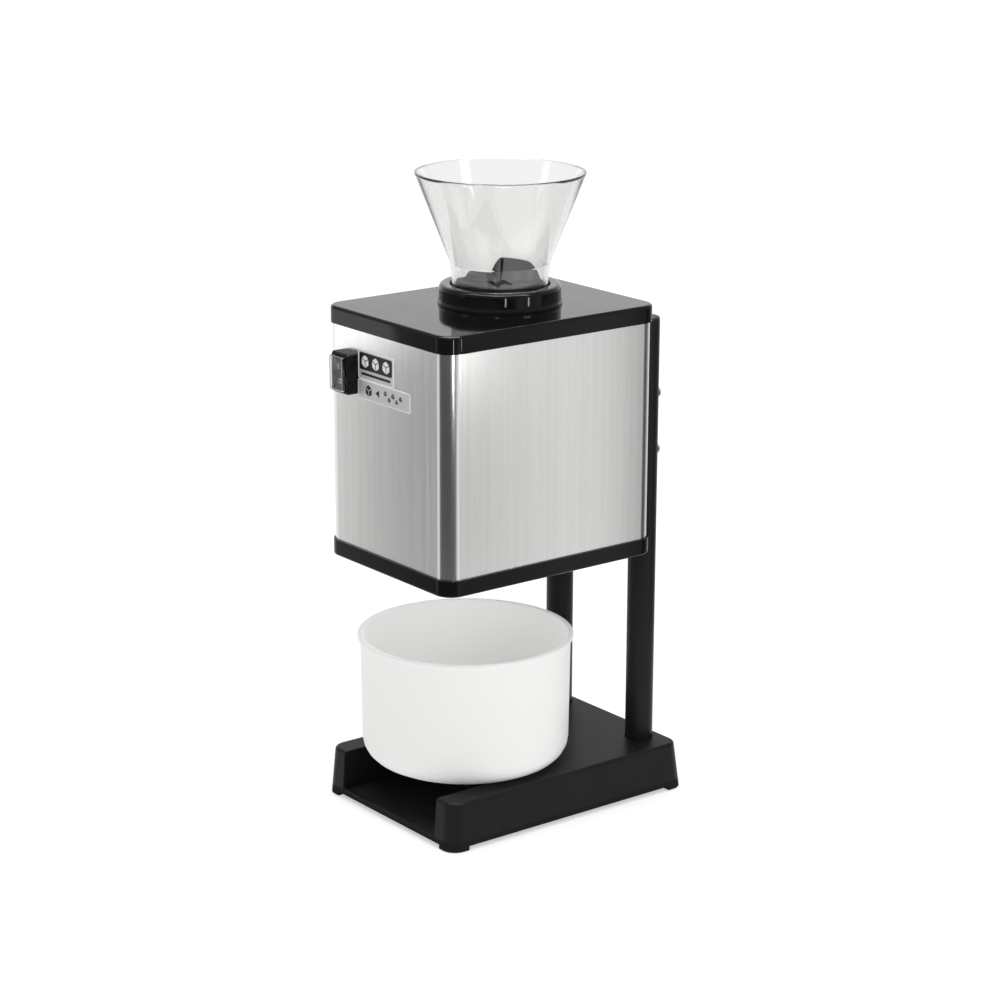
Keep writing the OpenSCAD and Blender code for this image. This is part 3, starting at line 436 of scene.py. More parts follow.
black_moulding = Finish("black_moulding")
spots = black_moulding.noise(45)
pores = black_moulding.noise(1100, detail=2)
height = black_moulding.node("ShaderNodeSeparateXYZ", {}, {0: black_moulding.place}, 2)
matt = height < bay_floor + 0.5 * mm
base_finish = black_moulding.plastic(
    black_moulding.mix(spots, (0.008, 0.008, 0.0085, 1), (0.013, 0.013, 0.0135, 1)),
    0.30 + 0.10 * spots + 0.06 * pores + 0.45 * matt, pores + 0.4 * spots, 0.00003,
    Specular_IOR_Level=0.09)
place(base, "machine", "base_black", base_finish, "base")


# ---------- foot pads ----------
# Four round pads of matt black rubber, glued into shallow seats in the corner feet.
def outline(points):
    """Points of a section, with each corner that has a radius turned into an arc."""
    done = []
    for index, (x, y, *rest) in enumerate(points):
        radius = rest[0] if rest else 0
        if not radius:
            done.append((x, y))
            continue
        here = Vector((x, y))
        back = (Vector(points[index - 1][:2]) - here).normalized()
        ahead = (Vector(points[(index + 1) % len(points)][:2]) - here).normalized()
        half = back.angle(ahead) / 2
        centre = here + (back + ahead).normalized() * radius / math.sin(half)
        first = here + back * radius / math.tan(half) - centre
        last = here + ahead * radius / math.tan(half) - centre
        sweep = math.atan2(first.x * last.y - first.y * last.x, first.dot(last))
        steps = 5
        for step in range(steps + 1):
            turn = Matrix.Rotation(sweep * step / steps, 2)
            done.append(tuple(centre + turn @ first))
    return done


def turned(name, points, centre, steps=96, axis="Z"):
    """A section of (radius, height) points drawn out point by point and spun about an axis.
    A section that doesn't start and end on the axis is closed first."""
    lathe = {"Z": Matrix.Identity(3), "X": Matrix.Rotation(math.pi / 2, 3, "Y"),
             "Y": Matrix.Rotation(-math.pi / 2, 3, "X")}[axis]
    spots_along = [Vector(centre) + lathe @ Vector((r, 0, h)) for r, h in outline(points)]
    bpy.ops.object.select_all(action="DESELECT")
    bpy.ops.mesh.primitive_plane_add(size=0.001, location=spots_along[0])
    piece = settle(name)
    bpy.ops.object.mode_set(mode="EDIT")
    bpy.ops.mesh.select_all(action="SELECT")
    bpy.ops.mesh.merge(type="CENTER")
    bpy.ops.mesh.select_mode(type="VERT")
    bpy.ops.mesh.select_all(action="SELECT")
    for here, there in zip(spots_along, spots_along[1:]):
        bpy.ops.mesh.extrude_region_move(TRANSFORM_OT_translate={"value": there - here})
    if points[0][0] or points[-1][0]:
        section = bmesh.from_edit_mesh(piece.data)
        for vert in section.verts:
            vert.select_set(len(vert.link_edges) == 1)
        section.select_flush_mode()
        bmesh.update_edit_mesh(piece.data)
        bpy.ops.mesh.edge_face_add()
    bpy.ops.mesh.select_all(action="SELECT")
    bpy.ops.mesh.spin(steps=steps, angle=2 * math.pi, center=centre, axis=lathe @ Vector((0, 0, 1)))
    bpy.ops.mesh.select_all(action="SELECT")
    bpy.ops.mesh.remove_doubles(threshold=1e-6)
    bpy.ops.mesh.normals_make_consistent(inside=False)
    leave()
    return piece


def shade(piece, angle=40):
    alone(piece)
    bpy.ops.object.shade_smooth_by_angle(angle=math.radians(angle))
    return piece


def copy_to(piece, offset, turn=Matrix.Identity(4)):
    """A copy with its own mesh, turned about the origin and then moved."""
    twin = piece.copy()
    twin.data = piece.data.copy()
    bpy.context.scene.collection.objects.link(twin)
    twin.data.transform(Matrix.Translation(offset) @ turn)
    return twin


def gather(name, pieces):
    """Joins like pieces into one."""
    bpy.ops.object.select_all(action="DESELECT")
    for piece in pieces:
        piece.select_set(True)
    bpy.context.view_layer.objects.active = pieces[0]
    bpy.ops.object.join()
    pieces[0].name = pieces[0].data.name = name
    return pieces[0]


low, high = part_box("foot_pads")
first = (low.x + 5 * mm, low.y + 5 * mm, 0)
pad = turned("pad", [(0, high.z), (5 * mm, high.z), (5 * mm, 0, 0.4 * mm), (0, 0)], first, 32)
reach = Vector((high.x - low.x - 10 * mm, high.y - low.y - 10 * mm, 0))
pads = gather("foot_pads_rubber", [
    pad, copy_to(pad, (reach.x, 0, 0)), copy_to(pad, (0, reach.y, 0)), copy_to(pad, reach)])
rubber = Finish("black_rubber")
bloom = rubber.noise(160)
rubber_finish = rubber.plastic(
    rubber.mix(bloom, (0.012, 0.012, 0.012, 1), (0.022, 0.022, 0.021, 1)),
    0.62 + 0.2 * bloom, rubber.noise(900), 0.00004, Specular_IOR_Level=0.3)
place(shade(pads), "machine", "rubber_black", rubber_finish, "foot_pads")


# ---------- columns ----------
# Two steel tubes with a satin black powder coat. Each stands in a socket of the base and
# is screwed through to a tapped bar inside the back of the housing.
screw_low, screw_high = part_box("column_screws")
head_r = 4.6 * mm
screw_heights = (screw_low.z + head_r, screw_high.z - head_r)
screw_hole = 2.7 * mm
powder_coat = Finish("powder_coat")
orange_peel = powder_coat.noise(420, detail=2)
powder_finish = powder_coat.plastic(
    powder_coat.mix(powder_coat.noise(30), (0.010, 0.010, 0.0105, 1), (0.014, 0.014, 0.0145, 1)),
    0.24 + 0.12 * orange_peel, orange_peel, 0.00004, Specular_IOR_Level=0.11)
for side, word in ((-1, "left"), (1, "right")):
    column = turned(f"column_tube_{word}", [
        (tube_r, tube_low), (tube_r, tube_high), (tube_r - 1.5 * mm, tube_high),
        (tube_r - 1.5 * mm, tube_low)], (side * tube_x, tube_y, 0), 64)
    for height in screw_heights:
        cut(column, rod("screw_way", (side * tube_x, tube_y - 2 * past, height), screw_hole,
                        4 * past, "Y", 24))
    place(smooth(column, 0.25 * mm), "machine", "tube_black", powder_finish, f"column_{word}")


# ---------- column caps ----------
# Black plastic plugs pushed into the tubes' open tops, with a low rounded crown.
cap_low, cap_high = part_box("column_caps")
cap_r, plug_r = tube_r - 0.2 * mm, tube_r - 1.5 * mm
cap = turned("cap", [
    (0, cap_high.z), (cap_r, cap_high.z, 1.4 * mm), (cap_r, tube_high), (plug_r, tube_high),
    (plug_r, cap_low.z, 0.3 * mm), (plug_r - 1.5 * mm, cap_low.z), (plug_r - 1.5 * mm, tube_high),
    (0, tube_high)], (-tube_x, tube_y, 0), 48)
caps = gather("column_plugs", [cap, copy_to(cap, (2 * tube_x, 0, 0))])
soft_plastic = Finish("satin_plastic")
fine = soft_plastic.noise(1400, detail=2)
cap_finish = soft_plastic.plastic(
    soft_plastic.mix(soft_plastic.noise(60), grey(0.011), grey(0.017)),
    0.38 + 0.14 * fine, fine, 0.00002, Specular_IOR_Level=0.2)
place(shade(caps), "machine", "cap_black", cap_finish, "column_caps")


# ---------- screws ----------
# Pan-head machine screws with a cross recess, bright zinc plated: through the columns,
# up into the columns' feet, and the long ones that tie tray, wrap and cover together.
def pan_screw(name, length, radius, head, crown):
    """A screw with its head's seat at the origin and its shank pointing down."""
    piece = turned(name, [
        (0, -length), (radius, -length, 0.4 * mm), (radius, 0), (head, 0, 0.2 * mm),
        (head, crown, crown * 0.8), (0, crown)], (0, 0, 0), 40)
    arm, slit = head * 0.55, 0.42 * mm
    for x, y in ((arm, slit), (slit, arm)):
        cut(piece, block("recess", (-x, -y, crown * 0.35), (x, y, crown + 0.001)))
    return smooth(piece, 0.08 * mm, 1)


plating = Finish("zinc_plating")
streak = plating.noise(500)
zinc_finish = plating.plastic(
    plating.mix(plating.noise(70), (0.50, 0.50, 0.51, 1), (0.62, 0.62, 0.60, 1)),
    0.22 + 0.16 * streak, streak, 0.00001, Metallic=1.0)

tool = pan_screw("tool", screw_high.y - screw_low.y - 2.6 * mm, 2.5 * mm, head_r, 2.6 * mm)
seat_y = screw_high.y - 2.6 * mm
backwards = Matrix.Rotation(-math.pi / 2, 4, "X")
screws = gather("column_side_screws", [
    copy_to(tool, (side * tube_x, seat_y, height), backwards)
    for side in (-1, 1) for height in screw_heights])
bpy.data.objects.remove(tool)
place(screws, "machine", "screw_steel", zinc_finish, "column_screws")

low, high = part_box("column_base_screws")
tool = pan_screw("tool", high.z - foot, 2.5 * mm, head_r, foot - low.z)
upwards = Matrix.Rotation(math.pi, 4, "X")
screws = gather("column_foot_screws", [
    copy_to(tool, (side * tube_x, tube_y, foot), upwards) for side in (-1, 1)])
bpy.data.objects.remove(tool)
place(screws, "machine", "zinc_steel", zinc_finish, "column_base_screws")

low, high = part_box("tie_screws")
tie_head = 3.8 * mm
tray_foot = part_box("bottom_tray")[0].z
tie_x = high.x - tie_head
tie_ys = (low.y + tie_head, high.y - tie_head)
tool = pan_screw("tool", high.z - tray_foot, 2 * mm, tie_head, tray_foot - low.z)
screws = gather("housing_tie_screws", [
    copy_to(tool, (side * tie_x, y, tray_foot), upwards) for side in (-1, 1) for y in tie_ys])
bpy.data.objects.remove(tool)
place(screws, "machine", "zinc_steel", zinc_finish, "tie_screws")


# ---------- steel wrap ----------
# One sheet of 0.8 mm stainless steel, brushed upright and folded round three sides, with
# two short returns at the back.
def thicken(piece, thickness, offset=-1):
    """Gives a bare surface its thickness, inwards unless told otherwise."""
    alone(piece)
    thick = piece.modifiers.new("thickness", "SOLIDIFY")
    thick.thickness, thick.offset = thickness, offset
    bpy.ops.object.modifier_apply(modifier=thick.name)


low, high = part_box("steel_wrap")
sheet = 0.8 * mm
return_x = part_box("rear_panel")[1].x - 6 * mm
wrap = block("steel_wrap_sheet", low, high)
round_edges(wrap, upright, 12 * mm, 20)
for x in (-return_x, return_x):
    pick(wrap, "FACE", lambda face: True)
    bpy.ops.mesh.bisect(plane_co=(x, 0, 0), plane_no=(1, 0, 0))
    leave()
pick(wrap, "FACE", lambda face: abs(face.normal.z) > 0.99
     or (face.normal.y > 0.99 and abs(face.calc_center_median().x) < return_x - 1 * mm))
bpy.ops.mesh.delete(type="FACE")
leave()
thicken(wrap, sheet)
body_low, body_high = low.copy(), high.copy()
switch_low, switch_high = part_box("switch_body")
cut(wrap, block("switch_way", (switch_low.x - 0.1 * mm, low.y - past, switch_low.z - 0.1 * mm),
                (switch_high.x + 0.1 * mm, low.y + past, switch_high.z + 0.1 * mm)))
for side in (-1, 1):
    for height in screw_heights:
        cut(wrap, rod("screw_way", (side * tube_x, high.y - past, height), screw_hole,
                      2 * past, "Y", 24))

brushed = Finish("brushed_steel")
lines = brushed.noise(1, (2600, 2600, 9), 4)
bands = brushed.noise(1, (260, 260, 3), 2)
cloud = brushed.noise(9, (1, 1, 0.6), 2)
brushed_finish = brushed.plastic(
    brushed.mix(lines * 0.6 + bands * 0.4, (0.74, 0.735, 0.725, 1), (0.96, 0.955, 0.945, 1)),
    0.15 + 0.12 * lines + 0.06 * cloud, lines * 0.7 + bands * 0.3, 0.000012, Metallic=1.0)
place(smooth(wrap), "machine", "wrap_steel", brushed_finish, "steel_wrap")


# ---------- rear panel ----------
# A flat plate of the same sheet that closes the back, with nine punched cooling slots
# and a round hole for the mains lead's grommet.
low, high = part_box("rear_panel")
panel = block("rear_panel_sheet", low, high)
slot_half, slot_tall, slot_pitch = 27 * mm, 3 * mm, 8 * mm
first_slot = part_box("bottom_tray")[1].z + 70 * mm
for index in range(9):
    z = first_slot + index * slot_pitch
    slot = block("slot", (-slot_half, low.y - past, z), (slot_half, high.y + past, z + slot_tall))
    round_edges(slot, lambda e: abs(e.verts[0].co.y - e.verts[1].co.y) > 0.01, 1.4 * mm, 5)
    cut(panel, slot)
grommet_low, grommet_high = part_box("cord_grommet")
grommet_z = (grommet_low.z + grommet_high.z) / 2
cut(panel, rod("lead_way", (0, low.y - past, grommet_z), 7.5 * mm, 0.02, "Y"))
for side in (-1, 1):
    for height in screw_heights:
        cut(panel, rod("screw_way", (side * tube_x, low.y - past, height), screw_hole,
                       2 * past, "Y", 24))
place(smooth(panel, 0.2 * mm), "machine", "wrap_steel", brushed_finish, "rear_panel")


# ---------- cord grommet ----------
# A black rubber ring with a groove that snaps into the rear panel's hole. Its bore is
# empty: the mains lead isn't part of the model.
half = (grommet_high.y - grommet_low.y) / 2
lip_r = (grommet_high.z - grommet_low.z) / 2
grommet = turned("grommet_ring", [
    (4 * mm, -half, 0.6 * mm), (lip_r, -half, 1 * mm), (lip_r, -sheet / 2), (7.5 * mm, -sheet / 2),
    (7.5 * mm, sheet / 2), (lip_r, sheet / 2), (lip_r, half, 2 * mm), (4 * mm, half, 0.8 * mm)],
    (0, (grommet_low.y + grommet_high.y) / 2, grommet_z), 64, "Y")
place(shade(grommet), "machine", "rubber_black", rubber_finish, "cord_grommet")


# ---------- bottom tray ----------
# A gloss black moulding under the housing. Its rim laps the steel wrap, and its floor
# has the chute's opening, four drain slots and notches for the columns.
low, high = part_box("bottom_tray")
throat_y = (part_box("hopper")[0].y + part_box("hopper")[1].y) / 2
shell_corner, shell_wall = 13.5 * mm, 1.45 * mm
tray = block("bottom_tray_moulding", low, high)
round_edges(tray, upright, shell_corner, 16)
round_edges(tray, at_height(low.z), 1.6 * mm, 4)
pick(tray, "FACE", level_face(high.z))
bpy.ops.mesh.inset(thickness=shell_wall)
bpy.ops.mesh.extrude_region_move(TRANSFORM_OT_translate={"value": (0, 0, -9 * mm)})
leave()
chute_low, chute_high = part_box("outlet_chute")
way = block("chute_way", (chute_low.x - 0.1 * mm, throat_y - 24.1 * mm, low.z - past),
            (chute_high.x + 0.1 * mm, throat_y + 24.1 * mm, low.z + past))
cut(tray, round_edges(way, upright, 6 * mm, 6))
for index in range(4):
    y = body_low.y + 22 * mm + index * 9 * mm
    slot = block("drain", (-20 * mm, y, low.z - past), (20 * mm, y + 4 * mm, low.z + past))
    cut(tray, round_edges(slot, upright, 1.9 * mm, 5))
for side in (-1, 1):
    cut(tray, rod("column_notch", (side * tube_x, tube_y, low.z - past), tube_r + 0.3 * mm, 0.04,
                  sides=64))
    for y in tie_ys:
        cut(tray, rod("screw_way", (side * tie_x, y, low.z - past), 2.2 * mm, 0.02, sides=24))
gloss = Finish("gloss_black")
ripple = gloss.noise(28, detail=1)
dust = gloss.noise(700, detail=2)
gloss_finish = gloss.plastic(
    gloss.mix(dust, (0.0045, 0.0045, 0.0048, 1), (0.008, 0.008, 0.0082, 1)),
    0.045 + 0.05 * dust + 0.02 * ripple, ripple, 0.00015, Specular_IOR_Level=0.16)
place(smooth(tray, 0.3 * mm), "machine", "tray_black", gloss_finish, "bottom_tray")


# ---------- top cover ----------
# The high-gloss black lid of the housing, with rounded edges and a rim that laps the
# steel. Four bosses under its roof take the tie screws.
low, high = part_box("top_cover")
cover_foot = high.z - 12.7 * mm
roof = high.z - 3 * mm
plunger_low, plunger_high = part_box("interlock_plunger")
plunger_y = (plunger_low.y + plunger_high.y) / 2
plunger_hole = 1.6 * mm
cover = block("top_cover_moulding", (low.x, low.y, cover_foot), high)
round_edges(cover, upright, shell_corner, 20)
round_edges(cover, at_height(high.z), 2.2 * mm, 6)
pick(cover, "FACE", level_face(cover_foot))
bpy.ops.mesh.inset(thickness=shell_wall)
bpy.ops.mesh.extrude_region_move(TRANSFORM_OT_translate={"value": (0, 0, roof - cover_foot)})
leave()
for side in (-1, 1):
    for y in tie_ys:
        cut(cover, rod("boss", (side * tie_x, y, low.z), 5 * mm, roof - low.z + 0.5 * mm), "UNION")
        cut(cover, rod("boss_bore", (side * tie_x, y, low.z - past), 2 * mm, past + 11 * mm,
                       sides=24))
cut(cover, rod("throat", (0, throat_y, roof - past), 27.5 * mm, 0.03, sides=96))
cut(cover, rod("plunger_way", (0, plunger_y, roof - past), plunger_hole, 0.03, sides=24))
place(smooth(cover, 0.3 * mm), "machine", "cover_black", gloss_finish, "top_cover")


# ---------- hopper collar ----------
# A thick gloss black ring on the lid, with a slight foot, a rounded top and a small
# step inside where the funnel's neck drops in.
low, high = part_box("hopper_collar")
neck_bore, throat_r = 35.6 * mm, 28 * mm
collar_r = high.x - 0.9 * mm
collar = turned("hopper_collar_ring", [
    (throat_r, low.z), (high.x, low.z), (high.x, low.z + 1.3 * mm, 0.5 * mm),
    (collar_r + 0.25 * mm, low.z + 3.2 * mm, 1.5 * mm), (collar_r, low.z + 6 * mm),
    (collar_r, high.z, 3 * mm), (neck_bore, high.z, 1 * mm), (neck_bore, low.z + 3 * mm, 0.3 * mm),
    (throat_r, low.z + 3 * mm, 0.3 * mm)], (0, throat_y, 0), 128)
cut(collar, rod("plunger_way", (0, plunger_y, low.z - past), plunger_hole, 0.03, sides=24))
place(smooth(collar), "machine", "collar_black", gloss_finish, "hopper_collar")


# ---------- splash guard ----------
# Soft black rubber inside the funnel's neck: a cuff with four petals, slit apart and
# bent by the ice that has been pushed through. The rear one stands up.
low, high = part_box("splash_guard")
guard_r = high.x
petal_t = 1.8 * mm
root, tip = guard_r - 1.5 * mm, 9 * mm
petal_turns, petal_sweep = (-43, 47, 137, 227), 86
petal_rings = 12
sag = 1.8 * mm


def rise(swing):
    """How far the worn rubber's edge stands up at an angle, in metres."""
    def bump(middle, before, after, height):
        """A hump with a long slope before its middle and a short one after, in degrees."""
        long_slope, short_slope = 34, 14
        off = (math.degrees(swing) - middle + 180) % 360 - 180
        share = (after - off) / short_slope if off > 0 else (before + off) / long_slope
        return height * math.sin(math.pi / 2 * min(1.0, max(0.0, share)))
    return (bump(120, 50, 34, 9.6) + bump(186, 26, 12, 3.4) + bump(232, 30, 10, 1.6)
            + 0.6 * math.sin(3 * swing)) * mm


cuff = turned("guard_cuff", [
    (guard_r - 2 * mm, low.z), (guard_r, low.z, 0.4 * mm), (guard_r, high.z, 0.9 * mm),
    (guard_r - 2 * mm, high.z, 0.9 * mm)], (0, 0, 0), 144)
for vert in cuff.data.vertices:
    if vert.co.z > high.z - 2 * mm:
        vert.co.z += rise(math.atan2(vert.co.y, vert.co.x))
cuff.data.transform(Matrix.Translation((0, throat_y, 0)))
smooth(cuff)
petals = []
for turn in petal_turns:
    bpy.ops.object.select_all(action="DESELECT")
    bpy.ops.mesh.primitive_plane_add(size=0.001, location=(root, 0, high.z - petal_t / 2))
    petal = settle("petal")
    bpy.ops.object.mode_set(mode="EDIT")
    bpy.ops.mesh.select_all(action="SELECT")
    bpy.ops.mesh.merge(type="CENTER")
    bpy.ops.mesh.select_mode(type="VERT")
    bpy.ops.mesh.select_all(action="SELECT")
    for step in range(petal_rings):
        bpy.ops.mesh.extrude_region_move(
            TRANSFORM_OT_translate={"value": ((tip - root) / petal_rings, 0, 0)})
    bpy.ops.mesh.select_all(action="SELECT")
    bpy.ops.mesh.spin(
        steps=40, angle=math.radians(petal_sweep), center=(0, 0, 0), axis=(0, 0, 1))
    bpy.ops.mesh.select_all(action="SELECT")
    bpy.ops.mesh.normals_make_consistent(inside=False)
    leave()
    petal.data.transform(Matrix.Rotation(math.radians(turn), 4, "Z"))
    for vert in petal.data.vertices:
        outward = max(0.0, (vert.co.xy.length - tip) / (root - tip))
        swing = math.atan2(vert.co.y, vert.co.x)
        vert.co.z += (rise(swing) * outward ** 1.4
                      - sag * (1 - outward) * (1 + 0.5 * math.sin(5 * swing)))
    petal.data.transform(Matrix.Translation((0, throat_y, 0)))
    petal.data.update()
    thicken(petal, petal_t, 0)
    petals.append(smooth(petal, 0.3 * mm, 2, 60))
guard = gather("splash_guard_rubber", [cuff, *petals])
place(guard, "machine", "rubber_black", rubber_finish, "splash_guard")


# ---------- hopper ----------
# The funnel: one moulding of clear plastic, 1.8 mm thick. Its neck is nearly straight
# and drops into the collar, and its rim has a fine bead.
low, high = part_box("hopper")
rim_r, neck_r, clear_wall = high.x, 33.4 * mm, 1.8 * mm
waist_r, waist_z = 35.3 * mm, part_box("hopper_collar")[1].z + 14.4 * mm
funnel = turned("hopper_funnel", [
    (neck_r - clear_wall, low.z, 0.5 * mm), (neck_r, low.z, 0.5 * mm), (waist_r, waist_z, 4 * mm),
    (rim_r - 0.6 * mm, high.z - 2.4 * mm, 0.8 * mm), (rim_r, high.z - 1.6 * mm, 0.3 * mm),
    (rim_r, high.z, 0.6 * mm), (rim_r - clear_wall, high.z, 0.6 * mm),
    (waist_r - clear_wall, waist_z + 0.5 * mm, 4 * mm)], (0, throat_y, 0), 160)
clear = Finish("clear_plastic")
haze = clear.noise(40)
clear_finish = clear.plastic(
    clear.mix(haze, (0.850, 0.850, 0.842, 1), (0.875, 0.875, 0.868, 1)), 0.002 + 0.006 * haze,
    clear.noise(40, detail=1), 0.0000012, Transmission_Weight=1.0, IOR=1.49)
place(shade(funnel, 50), "hopper", "clear_plastic", clear_finish, "hopper")


# ---------- bowl ----------
# A loose bowl of white plastic with nearly upright sides, a wide round at the bottom and
# a small rolled rim. It stands on the deck under the outlet.
low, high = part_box("bowl")
bowl_y = (low.y + high.y) / 2
rim, side_r, foot_r = high.x, high.x - 2.1 * mm, high.x - 3.3 * mm
corner, bowl_wall = 16.4 * mm, 2.4 * mm
bowl = turned("bowl_moulding", [
    (0, low.z + 0.5 * mm), (foot_r - corner - 8 * mm, low.z + 0.5 * mm, 2 * mm),
    (foot_r - corner - 6 * mm, low.z, 2 * mm), (foot_r, low.z, corner + 0.6 * mm),
    (side_r, high.z - 3.4 * mm, 0.9 * mm), (rim, high.z - 2.6 * mm, 0.8 * mm),
    (rim, high.z, 1.1 * mm),
    (side_r - bowl_wall, high.z, 1.2 * mm),
    (foot_r - bowl_wall, low.z + bowl_wall, corner - bowl_wall),
    (0, low.z + bowl_wall)], (0, bowl_y, 0), 160)
white = Finish("white_moulding")
flow = white.noise(14)
tiny = white.noise(900, detail=2)
white_finish = white.plastic(
    white.mix(flow, (0.80, 0.80, 0.785, 1), (0.84, 0.84, 0.83, 1)),
    0.42 + 0.12 * tiny + 0.05 * flow, tiny, 0.00001, Specular_IOR_Level=0.3,
    Subsurface_Weight=0.5, Subsurface_Radius=(1, 1, 1), Subsurface_Scale=0.008)
place(shade(bowl, 50), "bowl", "bowl_white", white_finish, "bowl")


# ---------- switch block ----------
# A small gloss black housing on the front, with softened edges. It holds a snap-in
# rocker switch behind a clear boot.
def along_y(edge):
    a, b = (v.co for v in edge.verts)
    return abs(a.x - b.x) < 1e-5 and abs(a.z - b.z) < 1e-5 and abs(a.y - b.y) > 1e-4


def at_depth(depth):
    """A test for edges that lie at a depth."""
    return lambda edge: all(abs(v.co.y - depth) < 1e-5 for v in edge.verts)


def facing_front(face):
    return face.normal.y < -0.999


low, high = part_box("switch_block")
boot_low, boot_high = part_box("switch_boot")
housing = block("switch_housing", low, high)
round_edges(housing, along_y, 2.4 * mm, 6)
round_edges(housing, at_depth(low.y), 1.8 * mm, 4)
cut(housing, block("switch_way", (switch_low.x, low.y - past, switch_low.z),
                   (switch_high.x, high.y + past, switch_high.z)))
cut(housing, block("boot_seat", (boot_low.x, low.y - past, boot_low.z),
                   (boot_high.x, boot_high.y, boot_high.z)))
switch_black = Finish("switch_black")
fine = switch_black.noise(900, detail=2)
switch_finish = switch_black.plastic(
    switch_black.mix(switch_black.noise(90), grey(0.006), grey(0.010)),
    0.20 + 0.12 * fine, fine, 0.00001, Specular_IOR_Level=0.16)
place(smooth(housing, 0.25 * mm), "machine", "switch_black", switch_finish, "switch_block")


# ---------- rocker ----------
# The on/off rocker, moulded in black nylon with a shallow V in its face and a plain bar
# and ring moulded on in white. It turns on two small pins.
def dress(slot_finish, *names):
    """Gives CAD nodes that stay as they are a procedural material."""
    for name in names:
        nodes[name].data.materials.clear()
        nodes[name].data.materials.append(slot_finish)


pivot = Vector(next(j["pos_m"] for j in frame["joints"] if j["name"] == "rocker_tilt"))
half_w, half_h, tilt = 5.4 * mm, 9.6 * mm, math.radians(7)
front, middle, back = -4.1 * mm, -3.4 * mm, -1.5 * mm
pin_reach, print_back = 6.6 * mm, front + 0.6 * mm
rocker = block("rocker_nylon", pivot + Vector((-half_w, front, -half_h)),
               pivot + Vector((half_w, back, half_h)))
pick(rocker, "FACE", lambda face: True)
bpy.ops.mesh.bisect(plane_co=pivot, plane_no=(0, 0, 1))
leave()
pick(rocker, "VERT", lambda v: abs(v.co.z - pivot.z) < 1e-5 and v.co.y < pivot.y + front + 1e-4)
bpy.ops.transform.translate(value=(0, middle - front, 0))
leave()
pick(rocker, "FACE", lambda face: face.normal.y > 0.99)
bpy.ops.mesh.extrude_region_move(TRANSFORM_OT_translate={"value": (0, 3.5 * mm, 0)})
bpy.ops.transform.resize(value=(1, 1, 0.42), center_override=pivot)
leave()
smooth(rocker, 0.45 * mm, 3)
cut(rocker, rod("pin", (pivot.x - pin_reach, pivot.y, pivot.z), 0.9 * mm, 2 * pin_reach, "X", 24),
    "UNION")
rocker.data.materials.append(switch_finish)
printed_white = Finish("printed_white")
white_print = printed_white.plastic(
    printed_white.mix(printed_white.noise(300), grey(0.66), grey(0.76)), 0.5)
bar = block("bar", pivot + Vector((-0.4 * mm, front + 0.15 * mm, 3.6 * mm)),
            pivot + Vector((0.4 * mm, print_back, 7.2 * mm)))
bar.data.materials.append(white_print)
ring = turned("ring", [(1.3 * mm, -0.5 * mm), (1.9 * mm, -0.5 * mm), (1.9 * mm, 0), (1.3 * mm, 0)],
              pivot + Vector((0, front + 0.68 * mm, -5.4 * mm)), 32, "Y")
ring.data.materials.append(white_print)
rocker = gather("rocker_nylon", [rocker, bar, ring])
rocker.data.transform(Matrix.Translation(pivot) @ Matrix.Rotation(tilt, 4, "X")
                      @ Matrix.Translation(-pivot))
place(shade(rocker), "rocker", "switch_black", None, "rocker")
dress(switch_finish, "switch_body")


# ---------- switch boot ----------
# A splash cover of clear soft vinyl, 0.8 mm thick, pressed over the rocker's opening.
boot = block("switch_boot_vinyl", boot_low, boot_high)
round_edges(boot, along_y, 2 * mm, 6)
round_edges(boot, at_depth(boot_low.y), 1.2 * mm, 4)
pick(boot, "FACE", lambda face: face.normal.y > 0.99)
bpy.ops.mesh.delete(type="FACE")
leave()
thicken(boot, 0.8 * mm)
vinyl = Finish("clear_vinyl")
cast = vinyl.noise(220)
vinyl_finish = vinyl.plastic(
    vinyl.mix(cast, (0.86, 0.87, 0.88, 1), (0.93, 0.94, 0.94, 1)), 0.10 + 0.12 * cast,
    cast, 0.0001, Transmission_Weight=1.0, IOR=1.42)
place(smooth(boot), "machine", "boot_clear", vinyl_finish, "switch_boot")


# ---------- badge ----------
# A thin printed metal plate with a bright border. Its dark field carries three plain ice
# cubes, and a bare rule runs under them.
set_back = 0.12 * mm  # how far a plate's field lies behind its border
mark_root = 0.1 * mm  # how far a mark runs back into its plate
tile = 0.16 * mm


def tablet(name, low, high, corner, border):
    """A thin plate on the front with rounded corners and a field set back in its border."""
    piece = block(name, low, high)
    round_edges(piece, along_y, corner, 6)
    pick(piece, "FACE", facing_front)
    bpy.ops.mesh.inset(thickness=border)
    bpy.ops.mesh.inset(thickness=set_back, depth=-set_back)
    leave()
    piece.data.materials.append(badge_bright)
    piece.data.materials.append(silver_film)
    smooth(piece)
    for face in piece.data.polygons:
        face.material_index = int(face.normal.y < -0.99 and face.center.y > low.y + 0.05 * mm)
    return piece


